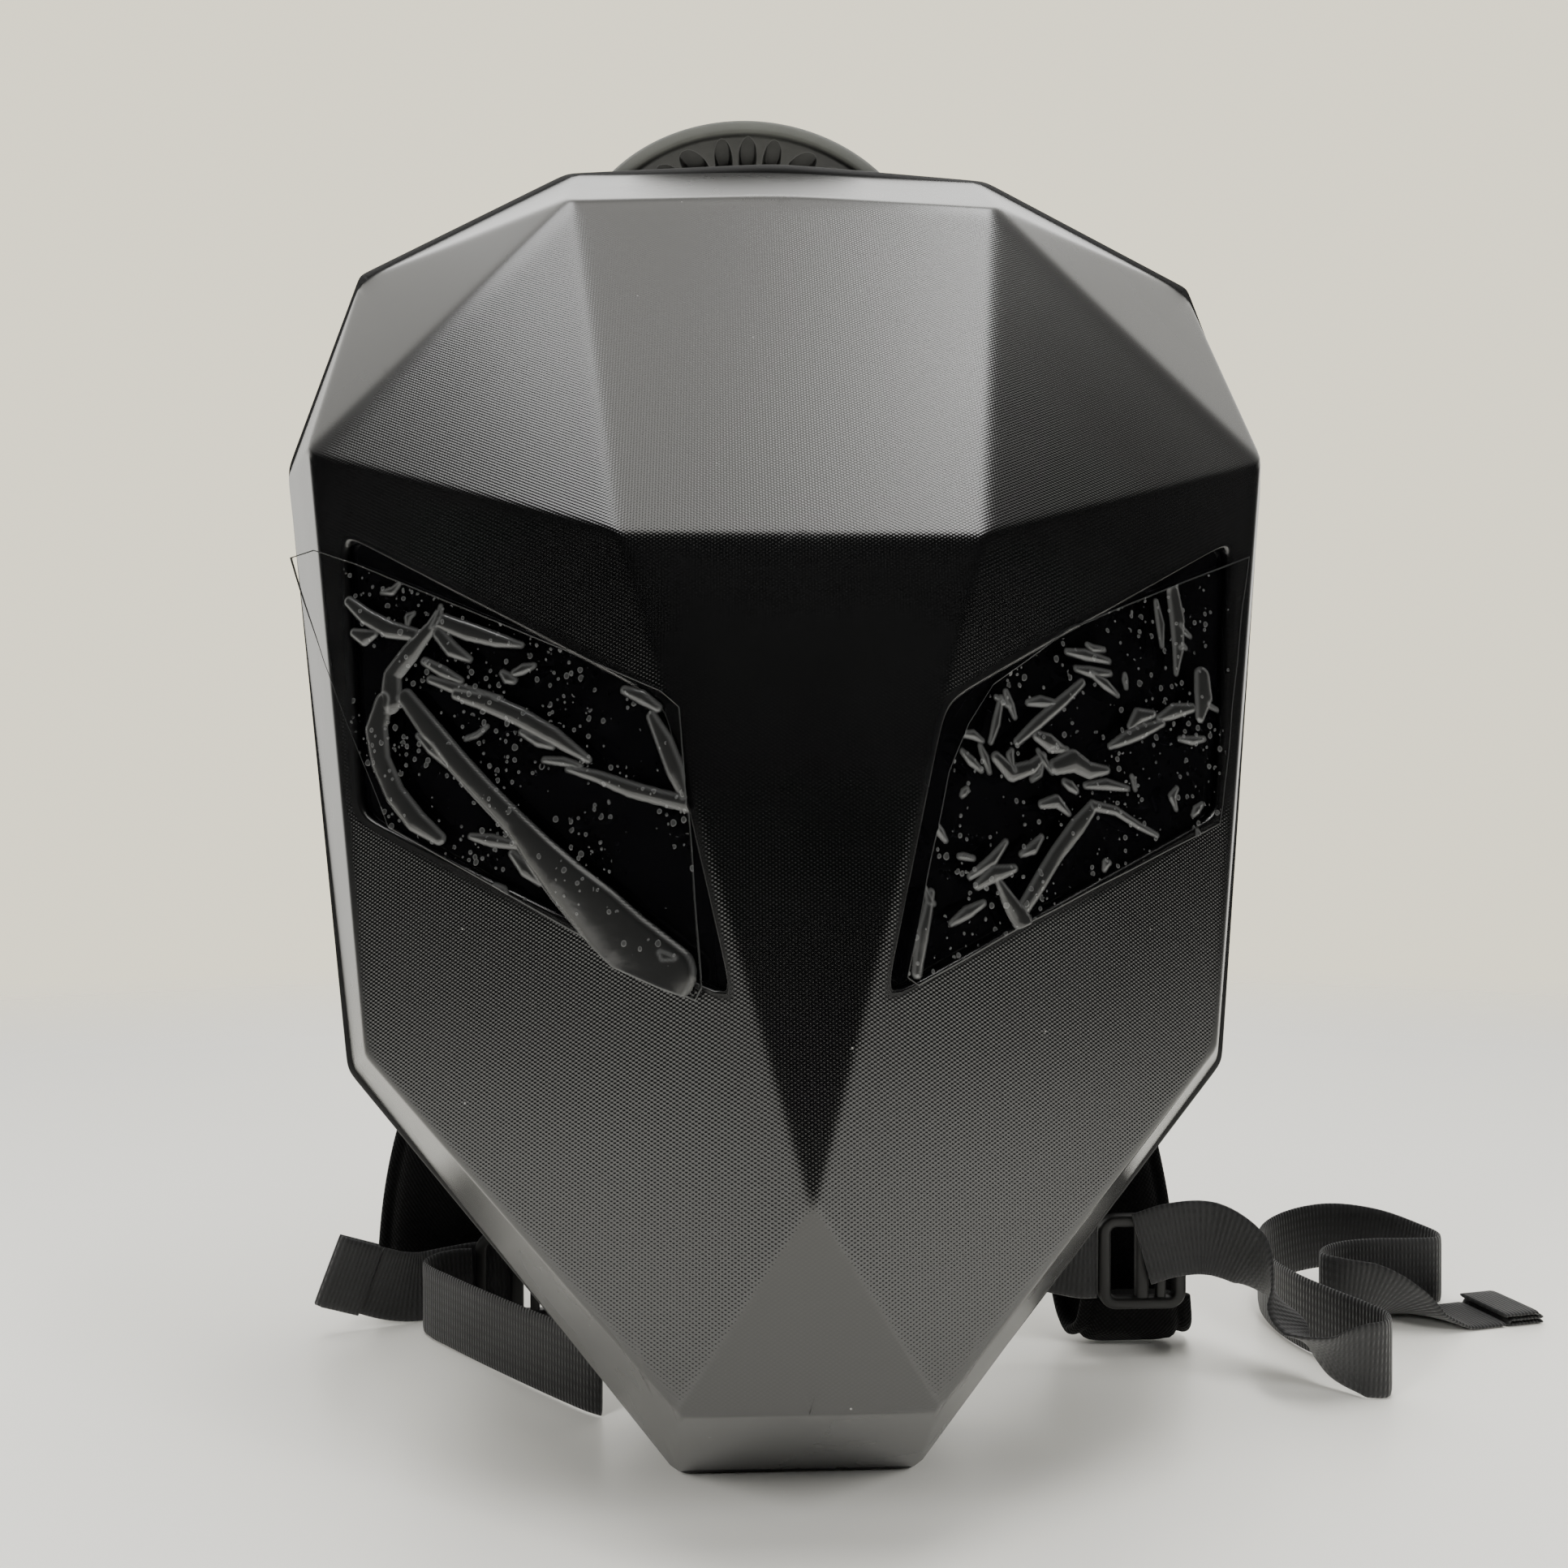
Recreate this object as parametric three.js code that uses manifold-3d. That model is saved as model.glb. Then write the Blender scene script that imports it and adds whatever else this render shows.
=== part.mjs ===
// Backpack with a faceted hard front, standing on its bottom edge and leaning back on its straps.
// Millimetres, +Z up. The bag is drawn upright in its own frame, x across, y towards the wearer
// and z up in the plane of the zip, and then leans back about the edge it stands on.
import * as THREE from "three";
import { ConvexGeometry } from "three/addons/geometries/ConvexGeometry.js";
import { mergeVertices } from "three/addons/utils/BufferGeometryUtils.js";
import Module from "manifold-3d";

const lean = THREE.MathUtils.degToRad(16.7);
const gap = 0.3; // between pieces that touch
const boxMiddle = 51.2; // from the edge the bag stands on back to the middle of its box

// Walls and edges
const shellWall = 2.6;
const shellRound = 4;
const caseWall = 2.4;
const caseRound = 9;
const caseDepth = 44;
const caseTaper = 8; // how far the case draws in over its depth
const zipHalf = 2.4; // half the zip band's width
const zipProud = 1.2;
const zipDeep = 7;

// Right half of the zip line, from the bottom edge up to the middle of the top
const rim = [
  { x: 33, z: 0 },
  { x: 133, z: 113.5 },
  { x: 166, z: 313 },
  { x: 147, z: 389 },
  { x: 76, z: 433 },
  { x: 0, z: 439 },
];

// Right-hand corners of the front, standing out from the zip's plane by `out`
const corner = {
  nose: { x: 0, out: 95, z: 70 },
  brow: { x: 48.6, out: 105, z: 241 },
  temple: { x: 144, out: 60, z: 288 },
  crown: { x: 69, out: 45, z: 390.6 },
  midCrown: { x: 0, out: 45, z: 390.6 },
  chin: { x: 33.5, out: 65, z: 21 },
  jaw: { x: 120, out: 36, z: 114.6 },
};
rim.forEach((r, i) => (corner["rim" + i] = { x: r.x, out: 0, z: r.z }));

// Each facet by the corners round it; a minus sign takes the left-hand corner. `pair` facets are mirrored.
const facets = [
  { name: "nose", pair: false, round: ["nose", "brow", "-brow"] },
  { name: "chin", pair: false, round: ["nose", "chin", "-chin"] },
  { name: "forehead", pair: false, round: ["crown", "brow", "-brow", "-crown"] },
  { name: "underside", pair: false, round: ["chin", "-chin", "-rim0", "rim0"] },
  { name: "cheek", pair: true, round: ["temple", "brow", "nose", "chin", "jaw"] },
  { name: "browSide", pair: true, round: ["crown", "brow", "temple"] },
  { name: "jawWall", pair: true, round: ["jaw", "chin", "rim0", "rim1"] },
  { name: "sideWall", pair: true, round: ["temple", "jaw", "rim1", "rim2"] },
  { name: "templeWall", pair: true, round: ["temple", "rim2", "rim3"] },
  { name: "shoulderWall", pair: true, round: ["crown", "temple", "rim3"] },
  { name: "shoulderTop", pair: true, round: ["crown", "rim3", "rim4"] },
  { name: "topWall", pair: true, round: ["midCrown", "crown", "rim4", "rim5"] },
];

// Window openings in the cheeks, right-hand corners as seen from the front
const windowCorners = [
  { x: 130.6, z: 260.4 },
  { x: 36.9, z: 195.1 },
  { x: 19.4, z: 119.5 },
  { x: 123.6, z: 179.9 },
];
const windowRound = 7;
const screenLap = 5; // the screen reaches this far past its opening
const screenThick = 4;

// Outlines of the films as seen from the front; both lap over the windows' edges
const filmThick = 0.8;
const filmLift = 0.4;
const films = {
  left: [
    { x: -147, z: 258 },
    { x: -139, z: 258 },
    { x: -91, z: 231 },
    { x: -32, z: 194 },
    { x: -26, z: 122 },
    { x: -48, z: 130 },
    { x: -114, z: 175 },
    { x: -136, z: 225 },
  ],
  right: [
    { x: 136, z: 258 },
    { x: 123, z: 177 },
    { x: 58, z: 141 },
    { x: 25, z: 123 },
    { x: 36, z: 177 },
    { x: 49, z: 202 },
    { x: 73, z: 222 },
    { x: 109, z: 243 },
  ],
};

// Handle: an arch over the case's top, part of a circle about `centre`
const handle = { x: -10, centre: 401, radius: 66, base: 424, thick: 7, front: 8, deep: 28 };
const handlePockets = { count: 7, from: -45, to: 45, long: 19, wide: 9, deep: 4 };

// Pad on the wearer's side, right half of its outline
const padThick = 9;
const padRound = 22;
const padOutline = [
  { x: 42, z: 54 },
  { x: 104, z: 126 },
  { x: 124, z: 290 },
  { x: 96, z: 350 },
];

// Shoulder straps from their seams on the case down to their ends on the floor, in the standing frame:
// y behind the edge the bag stands on
const straps = {
  right: [
    { x: 36, y: 167.4, z: 382, wide: 58, thick: 11 },
    { x: 37, y: 162.8, z: 366.7, wide: 58, thick: 12 },
    { x: 42, y: 161.3, z: 335.8, wide: 60, thick: 12 },
    { x: 54, y: 159, z: 286.4, wide: 60, thick: 12 },
    { x: 72, y: 150.4, z: 215.9, wide: 58, thick: 12 },
    { x: 92, y: 137.9, z: 146.5, wide: 55, thick: 12 },
    { x: 108, y: 123.6, z: 88.2, wide: 51, thick: 12 },
    { x: 117, y: 113, z: 45, wide: 48, thick: 12 },
    { x: 119.5, y: 110, z: 22, wide: 46, thick: 11 },
    { x: 120.5, y: 104.5, z: 9.5, wide: 45, thick: 10 },
    { x: 121.5, y: 97, z: 5, wide: 44, thick: 9 },
    { x: 122, y: 90.5, z: 8.5, wide: 41, thick: 8.5 },
    { x: 122, y: 87.3, z: 18.8, wide: 38, thick: 8 },
  ],
  left: [
    { x: -36, y: 167.4, z: 382, wide: 58, thick: 11 },
    { x: -37, y: 163.5, z: 366.7, wide: 58, thick: 12 },
    { x: -42, y: 163, z: 335.8, wide: 60, thick: 12 },
    { x: -54, y: 163.5, z: 286, wide: 60, thick: 12 },
    { x: -72, y: 163, z: 216, wide: 58, thick: 12 },
    { x: -92, y: 161, z: 146, wide: 55, thick: 12 },
    { x: -110, y: 157, z: 88, wide: 51, thick: 12 },
    { x: -122, y: 153, z: 48, wide: 48, thick: 12 },
    { x: -126, y: 150, z: 20, wide: 46, thick: 12 },
    { x: -126, y: 146, z: 8, wide: 45, thick: 11 },
    { x: -125.5, y: 140, z: 5, wide: 42, thick: 10 },
    { x: -125, y: 131.6, z: 4.5, wide: 36, thick: 8 },
  ],
};

// Adjusters on the straps' ends: frames with two slots, upright and facing forward
const lock = { wide: 32, long: 30, thick: 5, slot: 5, bar: 5 };
const lockPlace = {
  right: { x: 122, y: 80.5, z: 33 },
  left: { x: -94, y: 125, z: 17 },
};

// Webbing: centre lines, with `roll` turning it from standing on edge (0) to lying flat (90).
// Anchors run from the case to the adjusters, and tails run on from there to their free ends.
const webWide = 25;
const webThick = 1.6;
const hemThick = 4.8;
const hemLong = 18;
const anchors = {
  right: [
    { x: 66, y: 62.2, z: 48.2, roll: 0 },
    { x: 67, y: 71, z: 45.5, roll: 0 },
    { x: 76, y: 81, z: 39, roll: 0 },
    { x: 90, y: 83.5, z: 34.5, roll: 0 },
    { x: 101, y: 80.6, z: 33, roll: 0 },
    { x: 106.5, y: 80.5, z: 33, roll: 0 },
  ],
  left: [
    { x: -58, y: 40, z: 12.9, roll: 0 },
    { x: -62, y: 43, z: 12.9, roll: 0 },
    { x: -70, y: 51, z: 12.9, roll: 0 },
    { x: -83, y: 65, z: 12.9, roll: 0 },
    { x: -100, y: 84, z: 12.9, roll: 0 },
    { x: -114.5, y: 101, z: 12.9, roll: 0 },
    { x: -122.5, y: 111, z: 12.9, roll: 0 },
    { x: -125.5, y: 117, z: 13.2, roll: 0 },
    { x: -122.5, y: 122, z: 13.9, roll: 0 },
    { x: -116.5, y: 124.6, z: 14.6, roll: 0 },
    { x: -110.2, y: 125, z: 14.8, roll: 0 },
  ],
};
const tails = {
  right: [
    { x: 121, y: 76.8, z: 38, roll: 0 },
    { x: 132, y: 76.8, z: 41, roll: 0 },
    { x: 144, y: 74, z: 42, roll: 0 },
    { x: 154.6, y: 67, z: 37, roll: 15 },
    { x: 160.8, y: 59, z: 27, roll: 50 },
    { x: 164.5, y: 51, z: 18, roll: 72 },
    { x: 173.5, y: 44, z: 13, roll: 40 },
    { x: 183, y: 40.5, z: 12.9, roll: 8 },
    { x: 190, y: 42, z: 12.9, roll: 0 },
    { x: 193, y: 48, z: 12.9, roll: 0 },
    { x: 190.5, y: 58, z: 12.9, roll: 0 },
    { x: 184.5, y: 72, z: 12.9, roll: 0 },
    { x: 179, y: 88, z: 12.9, roll: 0 },
    { x: 177, y: 105, z: 12.8, roll: 0 },
    { x: 179, y: 124, z: 13.5, roll: 0 },
    { x: 187, y: 142, z: 15, roll: 0 },
    { x: 202, y: 153, z: 17, roll: 0 },
    { x: 219, y: 157, z: 18, roll: 0 },
    { x: 235, y: 154, z: 16.5, roll: 0 },
    { x: 246, y: 145, z: 14, roll: 0 },
    { x: 251, y: 134, z: 12.8, roll: 0 },
    { x: 247, y: 128, z: 12.9, roll: 0 },
    { x: 237, y: 127, z: 12.9, roll: 0 },
    { x: 222, y: 127, z: 12.9, roll: 0 },
    { x: 209, y: 124, z: 12.9, roll: 0 },
    { x: 200, y: 117.5, z: 12.9, roll: 0 },
    { x: 197, y: 110.5, z: 12.9, roll: 0 },
    { x: 201, y: 105, z: 12.9, roll: 0 },
    { x: 210, y: 103.5, z: 12, roll: 10 },
    { x: 221, y: 105.5, z: 9, roll: 45 },
    { x: 232, y: 108.5, z: 4, roll: 75 },
    { x: 244, y: 111.5, z: 1.2, roll: 90 },
    { x: 258, y: 114.5, z: 1, roll: 90 },
  ],
  left: [
    { x: -95, y: 128.7, z: 17, roll: 0 },
    { x: -108, y: 128.9, z: 16, roll: 0 },
    { x: -121, y: 128.6, z: 14, roll: 0 },
    { x: -130, y: 127, z: 13, roll: 0 },
    { x: -138, y: 124, z: 14.5, roll: -3 },
    { x: -145.5, y: 121, z: 17.5, roll: -6 },
  ],
};
const sectionsPerRow = 3;

const colour = { shell: 0x1b1c1f, gloss: 0x07080a, film: 0xb9bfc6, cloth: 0x161719, web: 0x2b2c2f };

const wasm = await Module();
wasm.setup();

// Geometry to a closed solid for adding and cutting, and back with flat-shaded faces
function solid(geometry) {
  const bare = new THREE.BufferGeometry().setAttribute("position", geometry.getAttribute("position"));
  const merged = mergeVertices(geometry.index ? bare.setIndex(geometry.index) : bare, 1e-4);
  return new wasm.Manifold(
    new wasm.Mesh({
      numProp: 3,
      vertProperties: new Float32Array(merged.attributes.position.array),
      triVerts: new Uint32Array(merged.index.array),
    }),
  );
}
function shape(made) {
  const mesh = made.getMesh();
  const geometry = new THREE.BufferGeometry()
    .setAttribute("position", new THREE.BufferAttribute(mesh.vertProperties, 3))
    .setIndex(new THREE.BufferAttribute(mesh.triVerts, 1))
    .toNonIndexed();
  geometry.computeVertexNormals();
  return geometry;
}

// A corner by name, mirrored by a minus sign or by side = -1
function place(name, side = 1) {
  const mirrored = name.startsWith("-");
  const c = corner[mirrored ? name.slice(1) : name];
  return new THREE.Vector3((mirrored ? -side : side) * c.x, -c.out, c.z);
}

// The mean plane of a facet, facing away from the middle of the bag
const bagMiddle = new THREE.Vector3(0, -20, 220);
function facetPlane(round, side) {
  const points = round.map((name) => place(name, side));
  const normal = new THREE.Vector3();
  const centre = new THREE.Vector3();
  points.forEach((p, i) => {
    normal.add(p.clone().cross(points[(i + 1) % points.length]));
    centre.addScaledVector(p, 1 / points.length);
  });
  normal.normalize();
  if (normal.dot(centre.clone().sub(bagMiddle)) < 0) normal.negate();
  return new THREE.Plane().setFromNormalAndCoplanarPoint(normal, centre);
}

// The point common to three planes, each moved in by `inset`
function meeting([a, b, c], inset) {
  const bc = b.normal.clone().cross(c.normal);
  const ca = c.normal.clone().cross(a.normal);
  const ab = a.normal.clone().cross(b.normal);
  const scale = -1 / a.normal.dot(bc);
  return bc
    .multiplyScalar((a.constant + inset) * scale)
    .addScaledVector(ca, (b.constant + inset) * scale)
    .addScaledVector(ab, (c.constant + inset) * scale);
}

// Corners of the convex solid inside all planes moved in by `inset`
function cornersInside(planes, inset) {
  const found = [];
  planes.forEach((a, i) =>
    planes.slice(i + 1).forEach((b, j) =>
      planes.slice(i + j + 2).forEach((c) => {
        const p = meeting([a, b, c], inset);
        const inside = planes.every((plane) => plane.distanceToPoint(p) + inset < 1e-4);
        if (inside && !found.some((q) => q.distanceTo(p) < 0.02)) found.push(p);
      }),
    ),
  );
  return found;
}

// The convex solid inside all planes, moved in by `inset`, its edges rounded to `radius`
function convex(planes, inset, radius = 0) {
  const points = [];
  for (const p of cornersInside(planes, inset + radius)) {
    const near = planes.filter((plane) => Math.abs(plane.distanceToPoint(p) + inset + radius) < 0.05);
    if (!radius) points.push(p);
    else
      near.forEach((a, i) =>
        near.slice(i).forEach((b) => {
          const way = a.normal.clone().add(b.normal).normalize();
          points.push(p.clone().addScaledVector(way, radius));
        }),
      );
  }
  return solid(new ConvexGeometry(points));
}

// Everything in front of or behind the zip's plane, as a block to cut away
function block(fromY, toY) {
  const box = new THREE.BoxGeometry(600, toY - fromY, 700);
  return solid(box.translate(0, (fromY + toY) / 2, 220));
}

// A plane through two points of the rim, leaning in towards the wearer by `taper` radians
function rimPlane(a, b, side, taper, out) {
  const normal = new THREE.Vector3(side * (b.z - a.z), 0, a.x - b.x).normalize();
  const point = new THREE.Vector3(side * a.x, 0, a.z).addScaledVector(normal, out);
  normal.multiplyScalar(Math.cos(taper)).y = Math.sin(taper);
  return new THREE.Plane().setFromNormalAndCoplanarPoint(normal, point);
}
const rimPlanes = (taper, out) =>
  rim.slice(1).flatMap((b, i) => [1, -1].map((side) => rimPlane(rim[i], b, side, taper, out)));
const facing = (x, y, z, distance) =>
  new THREE.Plane(new THREE.Vector3(x, y, z).normalize(), -distance);
const floor = facing(0, Math.sin(lean), -Math.cos(lean), 0);

// Front shell: rounded facets, hollow, open at the zip
const shellPlanes = facets.flatMap(({ pair, round }) =>
  (pair ? [1, -1] : [1]).map((side) => facetPlane(round, side)),
);
shellPlanes.push(facing(0, 1, 0, 12));
const shellInside = (inset) => convex(shellPlanes, inset);
const cheekPlane = (side) => facetPlane(facets.find((f) => f.name === "cheek").round, side);

// An outline seen from the front, laid on a cheek and extruded from `low` to `high` above it
function onCheek(outline, side, low, high, round, grow = 0) {
  const plane = cheekPlane(side);
  const up = new THREE.Vector3(0, 0, 1).projectOnPlane(plane.normal).normalize();
  const across = up.clone().cross(plane.normal);
  const origin = plane.projectPoint(new THREE.Vector3(side * 80, -80, 190), new THREE.Vector3());
  const flat = outline.map(({ x, z }) => {
    const y = -(plane.constant + plane.normal.x * x + plane.normal.z * z) / plane.normal.y;
    const p = new THREE.Vector3(x, y, z).sub(origin);
    return new THREE.Vector2(p.dot(across), p.dot(up));
  });
  if (THREE.ShapeUtils.area(flat) < 0) flat.reverse();
  const geometry = new THREE.ExtrudeGeometry(rounded(grown(flat, grow), round), {
    depth: high - low,
    bevelEnabled: false,
    curveSegments: 5,
  });
  const stand = new THREE.Matrix4().makeBasis(across, up, plane.normal).setPosition(origin);
  return solid(geometry.translate(0, 0, low).applyMatrix4(stand));
}

// A polygon moved outwards by `grow` along its edges' normals
function grown(points, grow) {
  const last = points.length - 1;
  const away = points.map((p, i) => {
    const q = points[i === last ? 0 : i + 1];
    return new THREE.Vector2(q.y - p.y, p.x - q.x).normalize();
  });
  return points.map((p, i) => {
    const a = away[i ? i - 1 : last];
    const both = a.clone().add(away[i]);
    return p.clone().addScaledVector(both, grow / (1 + a.dot(away[i])));
  });
}

// A closed shape through `points` with its corners rounded off
function rounded(points, radius) {
  const outline = new THREE.Shape();
  points.forEach((p, i) => {
    const before = points[i ? i - 1 : points.length - 1];
    const after = points[(i + 1) % points.length];
    const into = before.clone().sub(p);
    const off = after.clone().sub(p);
    const start = p.clone().addScaledVector(into, Math.min(0.4, radius / into.length()));
    const end = p.clone().addScaledVector(off, Math.min(0.4, radius / off.length()));
    if (i) outline.lineTo(start.x, start.y);
    else outline.moveTo(start.x, start.y);
    outline.quadraticCurveTo(p.x, p.y, end.x, end.y);
  });
  outline.closePath();
  return outline;
}

const mirrored = (rows) => rows.map((row) => ({ ...row, x: -row.x }));
const sides = [
  { name: "right", side: 1, window: windowCorners },
  { name: "left", side: -1, window: mirrored(windowCorners) },
];

let shellSolid = convex(shellPlanes, 0, shellRound)
  .subtract(shellInside(shellWall))
  .subtract(block(-zipHalf - gap, 60));
for (const { side, window } of sides)
  shellSolid = shellSolid.subtract(onCheek(window, side, -12, 12, windowRound));
const screenSolid = ({ side, window }) =>
  onCheek(window, side, -shellWall - gap - screenThick, -shellWall - gap, windowRound, screenLap).intersect(
    shellInside(shellWall + gap),
  );

// Back case: drawn in towards the back, flat underneath where it stands on the floor
const taper = Math.atan2(caseTaper, caseDepth);
const casePlanes = [...rimPlanes(taper, 0), floor, facing(0, 1, 0, caseDepth), facing(0, -1, 0, 30)];
const caseSolid = convex(casePlanes, 0, caseRound)
  .subtract(convex(casePlanes, caseWall))
  .subtract(block(-60, zipHalf + gap));
const band = (out) => [...rimPlanes(0, out), floor, facing(0, 1, 0, zipHalf), facing(0, -1, 0, zipHalf)];
const bandHole = [...rimPlanes(0, -zipDeep), facing(0, 0, -1, -zipDeep), facing(0, 1, 0, 9), facing(0, -1, 0, 9)];
const zipSolid = convex(band(zipProud), 0, 0.9).subtract(convex(bandHole, 0));

// Handle: an arch extruded towards the wearer, its underside cored with leaf-shaped pockets
function handleSolid() {
  const { x, centre, radius, base, thick, front, deep } = handle;
  const inner = radius - thick;
  const [start, innerStart] = [radius, inner].map((r) => Math.asin((base - centre) / r));
  const arch = new THREE.Shape();
  arch.absarc(x, centre, radius, start, Math.PI - start, false);
  arch.absarc(x, centre, inner, Math.PI - innerStart, innerStart, true);
  const body = new THREE.ExtrudeGeometry(arch, {
    depth: deep - 2,
    bevelThickness: 1,
    bevelSize: 1,
    bevelOffset: -1,
    bevelSegments: 2,
    curveSegments: 22,
  });
  let made = solid(body.rotateX(Math.PI / 2).translate(0, front + deep - 1, 0));
  const { count, from, to, long, wide, deep: pocketDeep } = handlePockets;
  for (let i = 0; i < count; i++) {
    const turn = THREE.MathUtils.degToRad(from + ((to - from) * i) / (count - 1));
    const pocket = new THREE.SphereGeometry(1, 12, 8).scale(wide / 2, long / 2, pocketDeep);
    pocket.rotateY(turn).translate(
      x + inner * Math.sin(turn),
      front + deep / 2,
      centre + inner * Math.cos(turn),
    );
    made = made.subtract(solid(pocket));
  }
  return made.subtract(convex(casePlanes, -gap, caseRound));
}

function padSolid() {
  const half = padOutline.map(({ x, z }) => new THREE.Vector2(x, z));
  const whole = [...half, ...half.map((p) => new THREE.Vector2(-p.x, p.y)).reverse()];
  const body = new THREE.ExtrudeGeometry(rounded(whole, padRound), {
    depth: padThick - 3,
    bevelThickness: 1.5,
    bevelSize: 1.5,
    bevelOffset: -1.5,
    bevelSegments: 2,
    curveSegments: 5,
  });
  return solid(body.rotateX(Math.PI / 2).translate(0, caseDepth + gap + padThick - 1.5, 0));
}

// A strip through table rows: a cross-section carried along a smooth line, closed at both ends
function strip(rows, section, lowest) {
  const line = new THREE.CatmullRomCurve3(
    rows.map(({ x, y, z }) => new THREE.Vector3(x, y, z)),
    false,
    "centripetal",
  );
  const steps = (rows.length - 1) * sectionsPerRow;
  const rings = [];
  for (let i = 0; i <= steps; i++) {
    const row = Math.min(Math.floor(i / sectionsPerRow), rows.length - 2);
    const share = i / sectionsPerRow - row;
    const mix = (key) => THREE.MathUtils.lerp(rows[row][key], rows[row + 1][key], share);
    const centre = line.getPoint(i / steps);
    const ring = section(centre, line.getTangent(i / steps), mix);
    const dip = Math.max(0, lowest - Math.min(...ring.map((p) => p.z)));
    rings.push(ring.map((p) => p.setZ(p.z + dip)));
  }
  const n = rings[0].length;
  const index = [];
  for (let i = 0; i < steps; i++)
    for (let j = 0; j < n; j++) {
      const [a, b] = [i * n + j, i * n + ((j + 1) % n)];
      if (j < n / 2) index.push(a, b, b + n, a, b + n, a + n);
      else index.push(a, b, a + n, b, b + n, a + n); // both faces of a twisted strip bend alike
    }
  for (let j = 1; j < n - 1; j++) {
    index.push(0, j + 1, j);
    index.push(steps * n, steps * n + j, steps * n + j + 1);
  }
  const geometry = new THREE.BufferGeometry().setFromPoints(rings.flat()).setIndex(index);
  return geometry;
}

// Webbing's section: a flat rectangle, standing on edge and turned by the row's roll
function webSection(centre, along, mix) {
  const up = new THREE.Vector3(0, 0, 1).projectOnPlane(along).normalize();
  up.applyAxisAngle(along, THREE.MathUtils.degToRad(mix("roll")));
  const face = along.clone().cross(up);
  const corners = [
    [-1, -1],
    [-1, 1],
    [1, 1],
    [1, -1],
  ];
  return corners.map(([a, b]) =>
    centre.clone().addScaledVector(face, (a * mix("thick")) / 2).addScaledVector(up, (b * webWide) / 2),
  );
}

// Webbing of one thickness along table rows
const web = (rows, thick) => strip(rows.map((row) => ({ ...row, thick })), webSection, 0);

// Padded strap's section: a flat oval with its width across the bag
function padSection(centre, along, mix) {
  const across = new THREE.Vector3(1, 0, 0).projectOnPlane(along).normalize();
  const face = across.clone().cross(along);
  return Array.from({ length: 14 }, (_, i) => {
    const angle = (2 * Math.PI * i) / 14;
    const soft = (v) => Math.sign(v) * Math.sqrt(Math.abs(v));
    return centre
      .clone()
      .addScaledVector(face, (-soft(Math.sin(angle)) * mix("thick")) / 2)
      .addScaledVector(across, (soft(Math.cos(angle)) * mix("wide")) / 2);
  });
}

// Adjuster: a frame with a bar across the middle
function lockSolid({ x, y, z }) {
  const { wide, long, thick, slot, bar } = lock;
  let made = solid(new THREE.BoxGeometry(long, thick, wide));
  for (const k of [-1, 1])
    made = made.subtract(
      solid(new THREE.BoxGeometry(slot, thick * 2, webWide + 2).translate((k * (bar + slot)) / 2, 0, 0)),
    );
  return shape(made).translate(x, y, z);
}

// Folded end of a tail: a thicker block carrying on from the tail's last row
function hem(rows) {
  const end = rows[rows.length - 1];
  const before = rows[rows.length - 2];
  const along = new THREE.Vector3(end.x - before.x, end.y - before.y, end.z - before.z).normalize();
  const start = new THREE.Vector3(end.x, end.y, end.z);
  const row = (share) => {
    const p = start.clone().addScaledVector(along, gap + hemLong * share);
    return { x: p.x, y: p.y, z: p.z, roll: end.roll };
  };
  return web([row(0), row(0.5), row(1)], hemThick);
}

const standing = new THREE.Group();
standing.name = "standing";
standing.position.y = -boxMiddle;
const bag = new THREE.Group();
bag.name = "bag";
bag.rotation.x = -lean;
standing.add(bag);

function add(group, name, geometry, color, roughness, metalness = 0) {
  const material = new THREE.MeshStandardMaterial({ color, roughness, metalness });
  const mesh = new THREE.Mesh(geometry, material);
  mesh.name = name;
  group.add(mesh);
}

add(bag, "shell", shape(shellSolid), colour.shell, 0.35);
add(bag, "zip_band", shape(zipSolid), colour.cloth, 0.8);
add(bag, "back_case", shape(caseSolid), colour.cloth, 0.85);
add(bag, "back_pad", shape(padSolid()), colour.cloth, 0.9);
add(bag, "top_handle", shape(handleSolid()), colour.shell, 0.5);
for (const one of sides) {
  const { name, side } = one;
  const film = onCheek(films[name], side, filmLift, filmLift + filmThick, 5);
  add(bag, "screen_" + name, shape(screenSolid(one)), colour.gloss, 0.08);
  add(bag, "film_" + name, shape(film), colour.film, 0.1);
  add(standing, "shoulder_strap_" + name, strip(straps[name], padSection, 0), colour.cloth, 0.9);
  add(standing, "ladder_lock_" + name, lockSolid(lockPlace[name]), colour.shell, 0.4);
  add(standing, "anchor_web_" + name, web(anchors[name], webThick), colour.web, 0.8);
  add(standing, "webbing_" + name, web(tails[name], webThick), colour.web, 0.8);
  add(standing, "strap_end_" + name, hem(tails[name]), colour.web, 0.8);
}

const backpack = new THREE.Group();
backpack.name = "backpack";
backpack.add(standing);

export default backpack;
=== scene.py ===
# A hard-fronted motorcycle backpack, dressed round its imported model. Tables are in millimetres.
import math

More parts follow.
